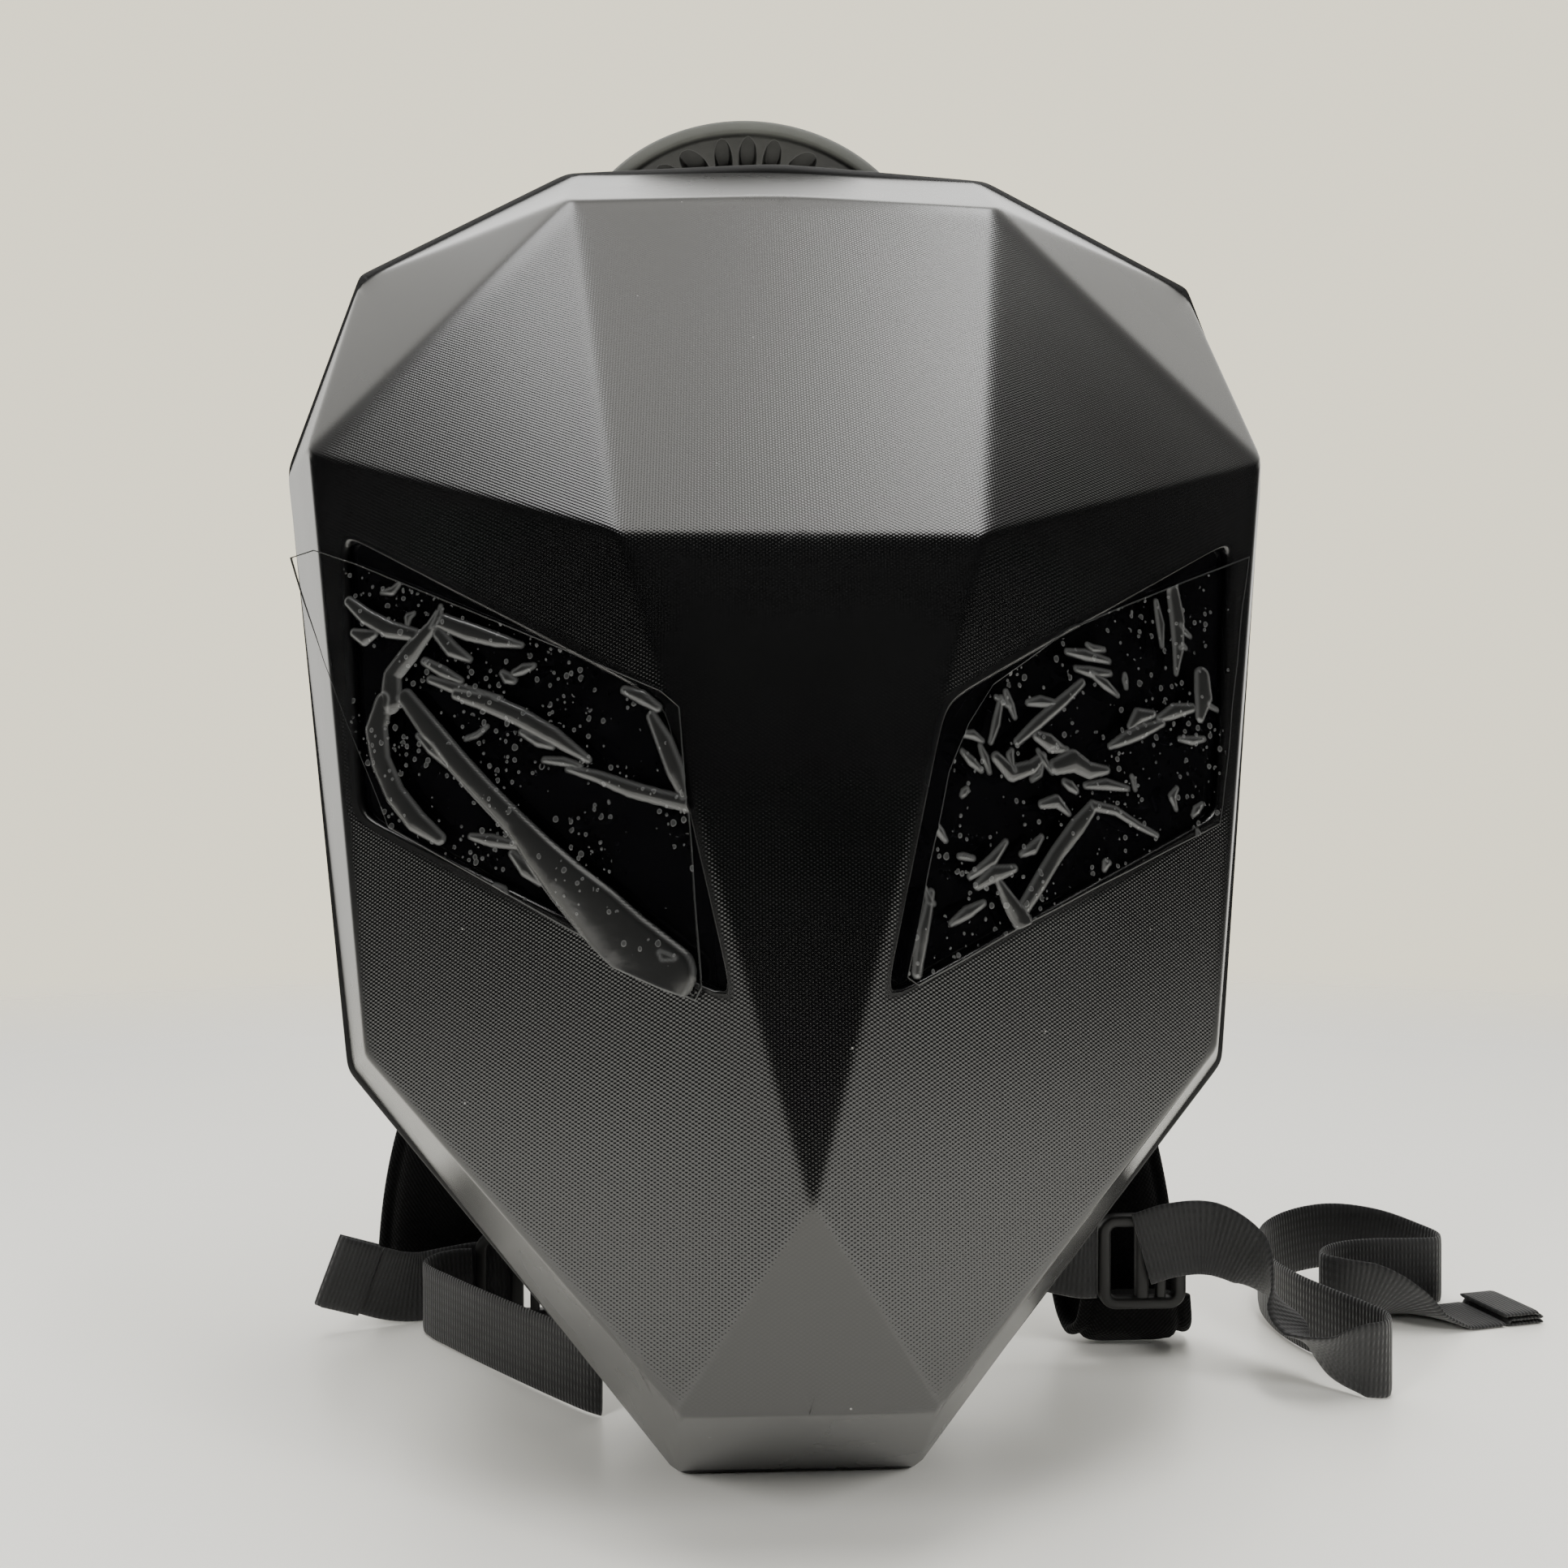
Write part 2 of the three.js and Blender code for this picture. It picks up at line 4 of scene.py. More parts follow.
import bpy
import numpy as np
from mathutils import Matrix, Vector


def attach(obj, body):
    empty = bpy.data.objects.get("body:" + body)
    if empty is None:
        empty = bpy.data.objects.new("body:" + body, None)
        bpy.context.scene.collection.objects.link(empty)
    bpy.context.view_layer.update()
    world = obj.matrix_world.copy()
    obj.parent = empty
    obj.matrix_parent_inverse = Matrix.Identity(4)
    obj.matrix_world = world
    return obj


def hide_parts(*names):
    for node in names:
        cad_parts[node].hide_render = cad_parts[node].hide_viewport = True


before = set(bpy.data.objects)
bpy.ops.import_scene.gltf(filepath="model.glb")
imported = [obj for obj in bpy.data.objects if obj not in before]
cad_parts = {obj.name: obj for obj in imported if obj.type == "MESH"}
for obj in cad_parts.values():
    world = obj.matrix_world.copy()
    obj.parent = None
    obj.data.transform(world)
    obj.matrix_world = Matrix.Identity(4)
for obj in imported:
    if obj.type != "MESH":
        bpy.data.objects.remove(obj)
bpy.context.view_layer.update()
mm = 0.001
# The bag leans back about its bottom edge; soft rings and single points keep off the floor
stance = {"lean": math.radians(16.7), "boxMiddle": 51.2, "ringsOff": 0.05, "pointsOff": 0.2}


# Bag frame to scene: y' = z sin(lean) + y cos(lean) - boxMiddle, z' = z cos(lean) - y sin(lean)
def bagToScene(p):
    s, c = math.sin(stance["lean"]), math.cos(stance["lean"])
    x, y, z = p[..., 0], p[..., 1], p[..., 2]
    return mm * np.stack([x, z * s + y * c - stance["boxMiddle"], z * c - y * s], -1)


# Standing frame to scene: y loses boxMiddle, the rest stays
def standToScene(p):
    return mm * (p - np.array([0.0, stance["boxMiddle"], 0.0]))


# Quads of a grid: corners (i, j), (i, j+1), (i+1, j+1), (i+1, j), taken round where the grid wraps
def gridQuads(rows, cols, wrapRows=False, wrapCols=False):
    i = np.arange(rows if wrapRows else rows - 1)[:, None]
    j = np.arange(cols if wrapCols else cols - 1)[None]
    up, on = (i + 1) % rows, (j + 1) % cols
    four = np.broadcast_arrays(i * cols + j, i * cols + on, up * cols + on, up * cols + j)
    return np.stack(four, -1).reshape(-1, 4)


# Rises from 0 at low to 1 at high, with level ends: t t (3 - 2 t)
def smoothStep(value, low, high):
    t = np.clip((value - low) / (high - low), 0, 1)
    return t * t * (3 - 2 * t)


# Length along each line of points, starting at 0
def lengthAlong(line, axis=0):
    step = np.linalg.norm(np.diff(line, axis=axis), axis=-1)
    return np.insert(np.cumsum(step, axis=axis), 0, 0, axis=axis)


# Vectors brought to unit length
def unit(v):
    return v / np.linalg.norm(v, axis=-1, keepdims=True)


# Points (x, y, z) from places (x, z) seen from the front and their depth y
def atDepth(flat, y):
    return np.stack(np.broadcast_arrays(flat[..., 0], y, flat[..., 1]), -1)


# Faces of a tube of rings with a cap on each end
def tubeFaces(rows, cols):
    ends = [list(range(cols))[::-1], list(range((rows - 1) * cols, rows * cols))]
    return gridQuads(rows, cols, wrapCols=True).tolist() + ends


# Shares (-1 to 1) across a flat ring, over its front and back again, and which side each is on (1 or -1)
def flatRing(steps):
    across = np.sin(np.linspace(-math.pi / 2, math.pi / 2, steps + 1))
    side = np.concatenate([np.ones(steps + 1), -np.ones(steps - 1)])
    return np.concatenate([across, across[-2:0:-1]]), side


# Rings lifted so that none dips below the floor's clearance
def liftClear(points):
    points[..., 2] += np.maximum(0, stance["ringsOff"] - points[..., 2].min(1))[:, None]


# A new object with its data, linked to the scene
def addObject(name, data):
    made = bpy.data.objects.new(name, data)
    bpy.context.collection.objects.link(made)
    return made


# A mesh's points as rows
def meshPoints(mesh):
    p = np.empty(len(mesh.vertices) * 3)
    mesh.vertices.foreach_get("co", p)
    return p.reshape(-1, 3)


# A mesh object from points in metres and faces, turned outwards where its signed volume is negative
def makePiece(name, points, faces, finish, nodes=(), marks=None, closed=True):
    points = points.reshape(-1, 3)
    mesh = bpy.data.meshes.new(name)
    mesh.from_pydata(points, [], faces if isinstance(faces, list) else faces.tolist())
    mesh.polygons.foreach_set("use_smooth", np.ones(len(mesh.polygons), bool))
    for key, value in (marks or {}).items():
        one = value.size == len(points)
        mark = mesh.attributes.new(key, "FLOAT" if one else "FLOAT_VECTOR", "POINT")
        mark.data.foreach_set("value" if one else "vector", value.astype(np.float32).ravel())
    mesh.calc_loop_triangles()
    triangle = np.empty(len(mesh.loop_triangles) * 3, np.int32)
    mesh.loop_triangles.foreach_get("vertices", triangle)
    a, b, c = points[triangle.reshape(-1, 3)].transpose(1, 0, 2)
    if closed and np.einsum("ij,ij->", a, np.cross(b, c)) < 0:
        mesh.flip_normals()
    mesh.update()
    piece = addObject(name, mesh)
    mesh.materials.append(finish)
    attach(piece, "root")
    if nodes:
        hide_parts(*nodes)
    print("piece", name, len(mesh.polygons), "faces")
    return piece


# Camera: level, a little to the left of the middle and turned back towards it
camera = {"place": (-0.025, -0.4882, 0.195), "turn": -2.81, "lens": 35.4}
cameraData = bpy.data.cameras.new("camera")
cameraData.lens, cameraData.sensor_width = camera["lens"], 36
cameraData.clip_start, cameraData.clip_end = 0.01, 50
cameraObject = addObject("camera", cameraData)
cameraObject.location = camera["place"]
cameraObject.rotation_euler = (math.pi / 2, 0, math.radians(camera["turn"]))
bpy.context.scene.camera = cameraObject
print("camera set")


# The node tree and shader that are being filled: newFinish and makeLight open them
drawing = {"tree": None, "shader": None}


# Adds a node, sets its properties, and sets or links its inputs
def addNode(kind, inputs=None, **settings):
    tree = drawing["tree"]
    made = tree.nodes.new(kind)
    for key, value in settings.items():
        setattr(made, key, value)
    for key, value in (inputs or {}).items():
        if isinstance(value, bpy.types.NodeSocket):
            tree.links.new(value, made.inputs[key])
        else:
            made.inputs[key].default_value = value
    return made


# Links a result to one of the shader's inputs
def feed(name, result):
    drawing["tree"].links.new(result, drawing["shader"].inputs[name])


# One arithmetic node's result
def calc(operation, a, b=0.0, c=0.0):
    return addNode("ShaderNodeMath", {0: a, 1: b, 2: c}, operation=operation).outputs[0]


# A value carried from one range to another, clamped
def rescale(value, low, high, toLow=0.0, toHigh=1.0):
    inputs = {"Value": value, "From Min": low, "From Max": high, "To Min": toLow, "To Max": toHigh}
    return addNode("ShaderNodeMapRange", inputs).outputs[0]


# A colour between two others
def mixColour(share, first, second):
    inputs = {0: share, 6: (*first, 1), 7: (*second, 1)}
    return addNode("ShaderNodeMix", inputs, data_type="RGBA").outputs[2]


# Grey noise of a given size in metres
def noise(vector, size, detail=3.0, roughness=0.55):
    inputs = {"Vector": vector, "Scale": 1 / size, "Detail": detail, "Roughness": roughness}
    return addNode("ShaderNodeTexNoise", inputs).outputs[0]


# A named point value of the mesh
def pointMark(name, vector=False):
    made = addNode("ShaderNodeAttribute", attribute_name=name)
    return made.outputs["Vector" if vector else "Fac"]


# Surface height turned into the shader's normal
def bump(height, distance, strength):
    inputs = {"Height": height, "Distance": distance, "Strength": strength}
    feed("Normal", addNode("ShaderNodeBump", inputs).outputs[0])


# An empty finish: its material and Object coordinates
def newFinish(name, **sockets):
    material = bpy.data.materials.new(name)
    material.use_nodes = True
    shader = material.node_tree.nodes["Principled BSDF"]
    drawing.update(tree=material.node_tree, shader=shader)
    for key, value in sockets.items():
        shader.inputs[key.replace("_", " ")].default_value = value
    return material, addNode("ShaderNodeTexCoord").outputs["Object"]


# Object coordinates turned back to the upright bag
def bagPlace(place):
    turned = addNode("ShaderNodeMapping", {"Vector": place, "Rotation": (stance["lean"], 0, 0)})
    parts = addNode("ShaderNodeSeparateXYZ", {0: turned.outputs[0]})
    return parts.outputs


# A wave along one coordinate: cosine of the coordinate over the period
def wave(value, period, shift=0.0):
    return calc("COSINE", calc("MULTIPLY_ADD", value, 2 * math.pi / period, shift))


# Moulded shell: black plastic whose facets carry a staggered lattice of small domes
shellFinishLook = {
    "across": 1.6, "up": 1.05, "height": 0.085, "colour": (0.003, 0.0031, 0.0036),
    "paleTone": (0.0065, 0.0068, 0.0075), "dust": (0.34, 0.34, 0.33), "rough": 0.2, "smoothRough": 0.22,
    "fineSize": 0.0011, "fineShare": 0.09, "cloudSize": 0.07,
    "specks": 90.0, "speckSize": 0.028, "speckRare": 0.72,
}


def makeShellFinish():
    look = shellFinishLook
    material, place = newFinish(
        "mouldedShell", Specular_IOR_Level=0.85, Coat_Weight=0.12, Coat_Roughness=0.2
    )
    x, y, z = bagPlace(place)
    grain = pointMark("grain")
    dome = calc("MULTIPLY", wave(x, look["across"] * mm), wave(z, look["up"] * mm))
    fine = noise(place, look["fineSize"], 2.0)
    height = calc("MULTIPLY", calc("POWER", calc("MULTIPLY_ADD", dome, 0.5, 0.5), 1.4), grain)
    height = calc("MULTIPLY_ADD", fine, look["fineShare"], height)
    bump(height, look["height"] * mm, 0.85)
    cloud = noise(place, look["cloudSize"], 4.0)
    speck = addNode("ShaderNodeTexVoronoi", {"Vector": place, "Scale": look["specks"]})
    dust = calc("LESS_THAN", speck.outputs["Distance"], look["speckSize"])
    rare = addNode("ShaderNodeSeparateColor", {0: speck.outputs["Color"]})
    dust = calc("MULTIPLY", dust, calc("GREATER_THAN", rare.outputs[0], look["speckRare"]))
    base = mixColour(rescale(cloud, 0.35, 0.75), look["colour"], look["paleTone"])
    dusty = addNode("ShaderNodeMix", {0: dust, 6: base, 7: (*look["dust"], 1)}, data_type="RGBA")
    feed("Base Color", dusty.outputs[2])
    rough = rescale(grain, 0.0, 1.0, look["smoothRough"], look["rough"])
    rough = calc("MULTIPLY_ADD", cloud, 0.1, rough)
    feed("Roughness", rough)
    return material


# Screen: deep black gloss with a faint smear
def makeScreenFinish():
    material, place = newFinish(
        "screenGloss", Base_Color=(0.004, 0.004, 0.005, 1), Specular_IOR_Level=0.5
    )
    smear = noise(place, 0.03, 5.0)
    feed("Roughness", rescale(smear, 0.3, 0.8, 0.04, 0.14))
    bump(noise(place, 0.02, 1.0), 0.0002, 0.15)
    return material


# Film: clear where it lies flat; folds and trapped bubbles are hazy and glossy, and the bright lines along
# fold rims, the film's own edge and round each bubble are painted highlights
# lift and bubble weigh the film's haze; rim and ring weigh painted highlights
filmFinishLook = {
    "lift": 0.03, "rim": 0.12, "bubble": 0.055, "ring": 0.09, "tint": (0.86, 0.88, 0.9),
    "cell": 0.0021, "jitter": 0.0006, "jitterScale": 420.0, "cluster": 0.02,
}


def makeFilmFinish():
    look = filmFinishLook
    material, place = newFinish("clearFilm", Specular_IOR_Level=0.5, Roughness=0.22)
    jitter = addNode("ShaderNodeTexNoise", {"Vector": place, "Scale": look["jitterScale"], "Detail": 1.0})
    shift = {0: jitter.outputs["Color"], 1: (look["jitter"],) * 3, 2: place}
    shifted = addNode("ShaderNodeVectorMath", shift, operation="MULTIPLY_ADD").outputs[0]
    cell = addNode("ShaderNodeTexVoronoi", {"Vector": shifted, "Scale": 1 / look["cell"]})
    chance = addNode("ShaderNodeSeparateColor", {0: cell.outputs["Color"]}).outputs
    crowd = rescale(noise(place, look["cluster"], 3.0), 0.42, 0.64, 0.05, 0.85)
    chosen = calc("LESS_THAN", chance[0], calc("MULTIPLY", crowd, pointMark("stuck")))
    size = rescale(calc("POWER", chance[1], 1.6), 0.0, 1.0, 0.13, 0.48)
    inside = calc("SUBTRACT", size, cell.outputs["Distance"])
    bubble = calc("MULTIPLY", rescale(inside, -0.02, 0.05), chosen)
    # a bright ring round each bubble's edge: painted highlight
    ring = calc("MULTIPLY", bubble, rescale(inside, 0.05, 0.16, 1.0, 0.0))
    hazeAndHighlight = 0.0
    marks = [(pointMark(name), look[name]) for name in ("lift", "rim")]
    for part, weight in [*marks, (bubble, look["bubble"]), (ring, look["ring"])]:
        hazeAndHighlight = calc("MULTIPLY_ADD", part, weight, hazeAndHighlight)
    # the film turns opaque wherever haze and painted highlight add up past a small amount, and its colour
    # grows paler with them
    feed("Alpha", rescale(hazeAndHighlight, 0.008, 0.02))
    feed("Base Color", mixColour(hazeAndHighlight, (0, 0, 0), look["tint"]))
    height = calc("MULTIPLY_ADD", bubble, 0.35, noise(place, 0.007, 3.0))
    bump(height, 0.0003, 0.6)
    return material


# Woven cloth on the mesh's own lay (across, along): over and under threads, fuzz and faded patches; the
# colour is paler on raised threads and darker in the dips, a painted shade
def makeWoven(name, colour, paleTone, across, along, depth, rough, sheen, sway):
    material, place = newFinish(
        name, Sheen_Weight=sheen, Sheen_Roughness=0.45, Specular_IOR_Level=0.2
    )
    lay = addNode("ShaderNodeSeparateXYZ", {0: pointMark("lay", True)}).outputs
    ribs = wave(lay[1], along)
    threads = wave(lay[0], across)
    weave = calc("MULTIPLY_ADD", calc("MULTIPLY", ribs, threads), sway, calc("MULTIPLY", ribs, 1 - sway))
    fuzz = noise(place, 0.0006, 3.0)
    height = calc("MULTIPLY_ADD", fuzz, 0.5, calc("MULTIPLY", weave, 0.5))
    bump(height, depth, 0.9)
    patch = noise(place, 0.04, 4.0)
    # the weave's height also shifts the colour: painted shade in the dips between threads, on top of the
    # faded patches
    share = calc("ADD", calc("MULTIPLY", weave, 0.22), rescale(patch, 0.3, 0.75, 0.1, 0.7))
    feed("Base Color", mixColour(rescale(share, 0.0, 1.0), colour, paleTone))
    feed("Roughness", calc("MULTIPLY_ADD", fuzz, 0.12, rough))
    return material


# Open air mesh: rows of round holes in soft cloth, on Object coordinates, with painted shade in the holes
def makeMeshCloth(name, colour, paleTone, pitch):
    material, place = newFinish(name, Sheen_Weight=0.3, Sheen_Roughness=0.5, Specular_IOR_Level=0.25)
    x, y, z = bagPlace(place)
    hole = calc("MULTIPLY", wave(x, pitch), wave(z, pitch * 0.8))
    hole = rescale(hole, 0.15, 0.6)
    fuzz = noise(place, 0.0007, 3.0)
    bump(calc("MULTIPLY_ADD", hole, -1.0, calc("MULTIPLY", fuzz, 0.4)), 0.0006, 0.9)
    # the holes are painted darker: painted shade in the recesses, over soft colour patches
    shade = calc("MULTIPLY_ADD", hole, -0.6, rescale(noise(place, 0.03, 4.0), 0.3, 0.75, 0.5, 1.0))
    feed("Base Color", mixColour(rescale(shade, 0.0, 1.0), colour, paleTone))
    feed("Roughness", calc("MULTIPLY_ADD", fuzz, 0.15, 0.78))
    return material


# Moulded plastic: fine spark-eroded grain and soft colour clouds; a given mark moves the colour towards the
# second one, which on the handle leaves painted shade on the underside
def makeMoulded(name, colour, paleTone, rough, grainSize, grainDepth, mark=None):
    material, place = newFinish(name, Specular_IOR_Level=0.6)
    cloud = noise(place, 0.035, 5.0)
    grain = noise(place, grainSize, 2.0)
    bump(grain, grainDepth, 0.6)
    shade = rescale(cloud, 0.35, 0.7)
    if mark:
        shade = calc("MULTIPLY_ADD", shade, 0.2, calc("MULTIPLY", pointMark(mark), 0.8))
    feed("Base Color", mixColour(shade, colour, paleTone))
    feed("Roughness", calc("MULTIPLY_ADD", cloud, 0.16, rough))
    return material


shellFinish = makeShellFinish()
screenFinish = makeScreenFinish()
filmFinish = makeFilmFinish()
# Cloths: two colours, threads across and along, depth, roughness, sheen and share of cross threads
wovenLooks = {
    "ribbedWebbing": ((0.042, 0.0425, 0.044), (0.088, 0.089, 0.093), 0.003, 0.0015, 0.00035, 0.62, 0.3, 0.3),
    "caseCloth": ((0.008, 0.008, 0.009), (0.02, 0.02, 0.022), 0.0012, 0.0012, 0.00025, 0.7, 0.2, 1.0),
    "strapCloth": ((0.0015, 0.0016, 0.0019), (0.004, 0.004, 0.0047), 0.0016, 0.0016, 0.0003, 0.78, 0.03, 1.0),
}
# Plastics: two colours, roughness, grain size and depth, and the mark that parts the colours
mouldedLooks = {
    "zipTape": ((0.006, 0.006, 0.0065), (0.014, 0.014, 0.015), 0.5, 0.0008, 0.0001),
    # handle: the first, dark colour is painted shade on the underside and in its pockets; the grey goes on
    # the band
    "handlePlasticShadedUnder": ((0.006, 0.006, 0.0075), (0.33, 0.34, 0.31), 0.45, 0.0006, 0.00006, "bandOverShadedUnder"),
    "lockPlastic": ((0.002, 0.002, 0.0022), (0.004, 0.004, 0.0045), 0.42, 0.0005, 0.00004),
}
webFinish, caseFinish, strapFinish = (makeWoven(name, *look) for name, look in wovenLooks.items())
zipFinish, handleFinish, lockFinish = (makeMoulded(name, *look) for name, look in mouldedLooks.items())
padFinish = makeMeshCloth("airMesh", (0.005, 0.005, 0.0055), (0.02, 0.02, 0.022), 0.0042)
print("finishes made")


# A smooth line through rows: cubic pieces whose end slopes weigh chords by the root of their lengths
def smoothRoute(rows, perRow):
    p = np.vstack([2 * rows[0] - rows[1], rows, 2 * rows[-1] - rows[-2]])
    d = np.sqrt(np.maximum(np.linalg.norm(np.diff(p, axis=0), axis=1), 1e-6))[:, None]
    d0, d1, d2 = d[:-2], d[1:-1], d[2:]
    p0, p1, p2, p3 = p[:-3], p[1:-2], p[2:-1], p[3:]
    leave = ((p1 - p0) / d0 - (p2 - p0) / (d0 + d1) + (p2 - p1) / d1) * d1
    reach = ((p2 - p1) / d1 - (p3 - p1) / (d1 + d2) + (p3 - p2) / d2) * d1
    u = (np.arange(perRow) / perRow)[None, :, None]
    p1, p2, leave, reach = (v[:, None] for v in (p1, p2, leave, reach))
    line = (2 * u**3 - 3 * u**2 + 1) * p1 + (u**3 - 2 * u**2 + u) * leave
    line = line + (3 * u**2 - 2 * u**3) * p2 + (u**3 - u**2) * reach
    return np.vstack([line.reshape(-1, 3), rows[-1:]])


# Directions along a line of points, of unit length
def headings(line):
    return unit(np.gradient(line, axis=0))


# A table's column spread over the finer rows of its route
def spreadColumn(values, count):
    return np.interp(np.linspace(0, len(values) - 1, count), np.arange(len(values)), values)


webbing = {"wide": 25.0, "thick": 1.6, "perRow": 8, "faceSteps": 12}


# Webbing: a flat section, half thickness t/2 (1 - |b|^12)^(1/2) at share b of the half width, carried along
# a line; up is the vertical square to the line, turned by roll, and rings are lifted clear of the floor
def webStrip(name, line, roll, node, up=None, thick=webbing["thick"], lift=True):
    way = headings(line)
    if up is None:
        up = unit(np.array([0.0, 0, 1]) - way * way[:, 2:])
        turn = np.radians(roll)[:, None]
        up = up * np.cos(turn) + np.cross(way, up) * np.sin(turn)
    face = np.cross(way, up)
    across, side = flatRing(webbing["faceSteps"])
    depth = side * np.sqrt(1 - np.abs(across) ** 12) * thick / 2
    width = across * webbing["wide"] / 2
    points = line[:, None] + up[:, None] * width[None, :, None] + face[:, None] * depth[None, :, None]
    if lift:
        liftClear(points)
    lay = np.stack(np.broadcast_arrays(width, lengthAlong(line)[:, None], 0 * points[..., 0]), -1) * mm
    faces = tubeFaces(*points.shape[:2])
    return makePiece(name, standToScene(points), faces, webFinish, [node], {"lay": lay})


# Folded hem: webbing laid out, back and out again in a flat S, layers one thickness apart
hem = {
    "long": 14.5, "pitch": 1.65, "thick": 1.5, "steps": 26, "turnIn": 1.0, "gap": 0.4, "fold": (0.93, 1.0),
    "startRight": (258, 114.5, 2.5), "startLeft": (-145.5, 121, 17.5),
}


def webHem(name, start, way, up, node):
    s = np.linspace(0, 3, hem["steps"] * 3 + 1)
    layer = np.minimum(np.floor(s), 2)
    part = s - layer
    out = np.where(layer == 1, 1 - part, part) * hem["long"] + np.where(layer == 0, 0, hem["turnIn"])
    step = smoothStep(part, *hem["fold"]) * (layer < 2) + layer
    face = np.cross(way, up)
    line = start + way * (out + hem["gap"])[:, None] + face * ((step - 1) * hem["pitch"])[:, None]
    ups = np.broadcast_to(up, line.shape)
    return webStrip(name, line, 0, node, up=ups, thick=hem["thick"], lift=False)


# Routes of the webbing: x, y behind the bottom edge, z, and roll from on edge (0) to flat (90)
webRoutes = {
    "tailRight": [
        (121, 76.8, 38, 0), (132, 76.8, 41, 0), (144, 74, 42, 0), (154.6, 67, 37, 15),
        (160.8, 59, 27, 50), (164.5, 51, 18, 72), (173.5, 44, 13, 40), (183, 40.5, 12.9, 8),
        (190, 42, 12.9, 0), (193, 48, 12.9, 0), (190.5, 58, 12.9, 0), (184.5, 72, 12.9, 0),
        (179, 88, 12.9, 0), (177, 105, 12.8, 0), (179, 124, 13.5, 0), (187, 142, 15, 0),
        (202, 153, 17, 0), (219, 157, 18, 0), (235, 154, 16.5, 0), (246, 145, 14, 0),
        (251, 134, 12.8, 0), (247, 128, 12.9, 0), (237, 127, 12.9, 0), (222, 127, 12.9, 0),
        (209, 124, 12.9, 0), (200, 117.5, 12.9, 0), (197, 110.5, 12.9, 0), (201, 105, 12.9, 0),
        (210, 103.5, 12, 10), (221, 105.5, 9, 45), (232, 108.5, 4, 75), (244, 111.5, 1.2, 90),
        (258, 114.5, 1, 90),
    ],
    "tailLeft": [
        (-95, 128.7, 17, 0), (-108, 128.9, 16, 0), (-121, 128.6, 14, 0), (-130, 127, 13, 0),
        (-138, 124, 14.5, -3), (-145.5, 121, 17.5, -6),
    ],
    "anchorRight": [
        (66, 62.2, 48.2, 0), (67, 71, 45.5, 0), (76, 81, 39, 0), (90, 83.5, 34.5, 0),
        (101, 80.6, 33, 0), (106.5, 80.5, 33, 0),
    ],
    "anchorLeft": [
        (-58, 40, 12.9, 0), (-62, 43, 12.9, 0), (-70, 51, 12.9, 0), (-83, 65, 12.9, 0),
        (-100, 84, 12.9, 0), (-114.5, 101, 12.9, 0), (-122.5, 111, 12.9, 0), (-125.5, 117, 13.2, 0),
        (-122.5, 122, 13.9, 0), (-116.5, 124.6, 14.6, 0), (-110.2, 125, 14.8, 0),
    ],
}
webNodes = {
    "tailRight": "webbing_right", "tailLeft": "webbing_left",
    "anchorRight": "anchor_web_right", "anchorLeft": "anchor_web_left",
}
webPieces, webLines = {}, {}
for name, rows in webRoutes.items():
    route = np.array(rows, float)
    line = smoothRoute(route[:, :3], webbing["perRow"])
    webLines[name] = line
    webPieces[name] = webStrip(name, line, spreadColumn(route[:, 3], len(line)), webNodes[name])

endWay = unit(headings(webLines["tailRight"])[-1] * (1, 1, 0))
endUp = np.cross(endWay, (0.0, 0, 1))  # flat on the table, so its width lies level
hemRight = webHem("hemRight", np.array(hem["startRight"]), endWay, endUp, "strap_end_right")
leftWay = headings(webLines["tailLeft"])[-1]
leftUp = unit(np.array([0.0, 0, 1]) - leftWay * leftWay[2])
webHem("hemLeft", np.array(hem["startLeft"]), leftWay, leftUp, "strap_end_left")

# Shell: corners of the facets (x, out from the zip's plane, z) and the facets between them
shell = {
    "rim": [(33, 0), (133, 113.5), (166, 313), (147, 389), (76, 433), (0, 439)],
    "corners": {
        "nose": (0, 95, 70), "brow": (48.6, 105, 241), "temple": (144, 60, 288), "crown": (69, 45, 390.6),
        "midCrown": (0, 45, 390.6), "chin": (33.5, 65, 21), "jaw": (120, 36, 114.6),
    },
    "single": {
        "nose": ["nose", "brow", "-brow"], "chin": ["nose", "chin", "-chin"],
        "forehead": ["crown", "brow", "-brow", "-crown"], "underside": ["chin", "-chin", "-rim0", "rim0"],
    },
    "pairs": {
        "cheek": ["temple", "brow", "nose", "chin", "jaw"], "browSide": ["crown", "brow", "temple"],
        "jawWall": ["jaw", "chin", "rim0", "rim1"], "sideWall": ["temple", "jaw", "rim1", "rim2"],
        "templeWall": ["temple", "rim2", "rim3"], "shoulderWall": ["crown", "temple", "rim3"],
        "shoulderTop": ["crown", "rim3", "rim4"],
        "topWall": ["midCrown", "crown", "rim4", "rim5"],
    },
    "textured": ["nose", "chin", "forehead", "cheek", "browSide"],
    "window": [(130.6, 260.4), (36.9, 195.1), (19.4, 119.5), (123.6, 179.9)],
    "windowSharp": 0.55, "creaseSharp": 3.0, "grainSharp": 0.75, "wall": 2.6, "edge": 2.7, "lip": 1.3,
    "rays": 440, "rows": 88, "insideRows": 9, "lipRows": 6, "turnPull": 26.0,
    "pace": 0.65, "trials": 3001, "trail": 560, "within": (0, -20, 220), "midHeight": 200.0,
    "farthest": 420.0, "halvings": 46, "newtons": 6, "grainFade": (0.55, 0.98), "lipFade": (0.6, 3.4),
}


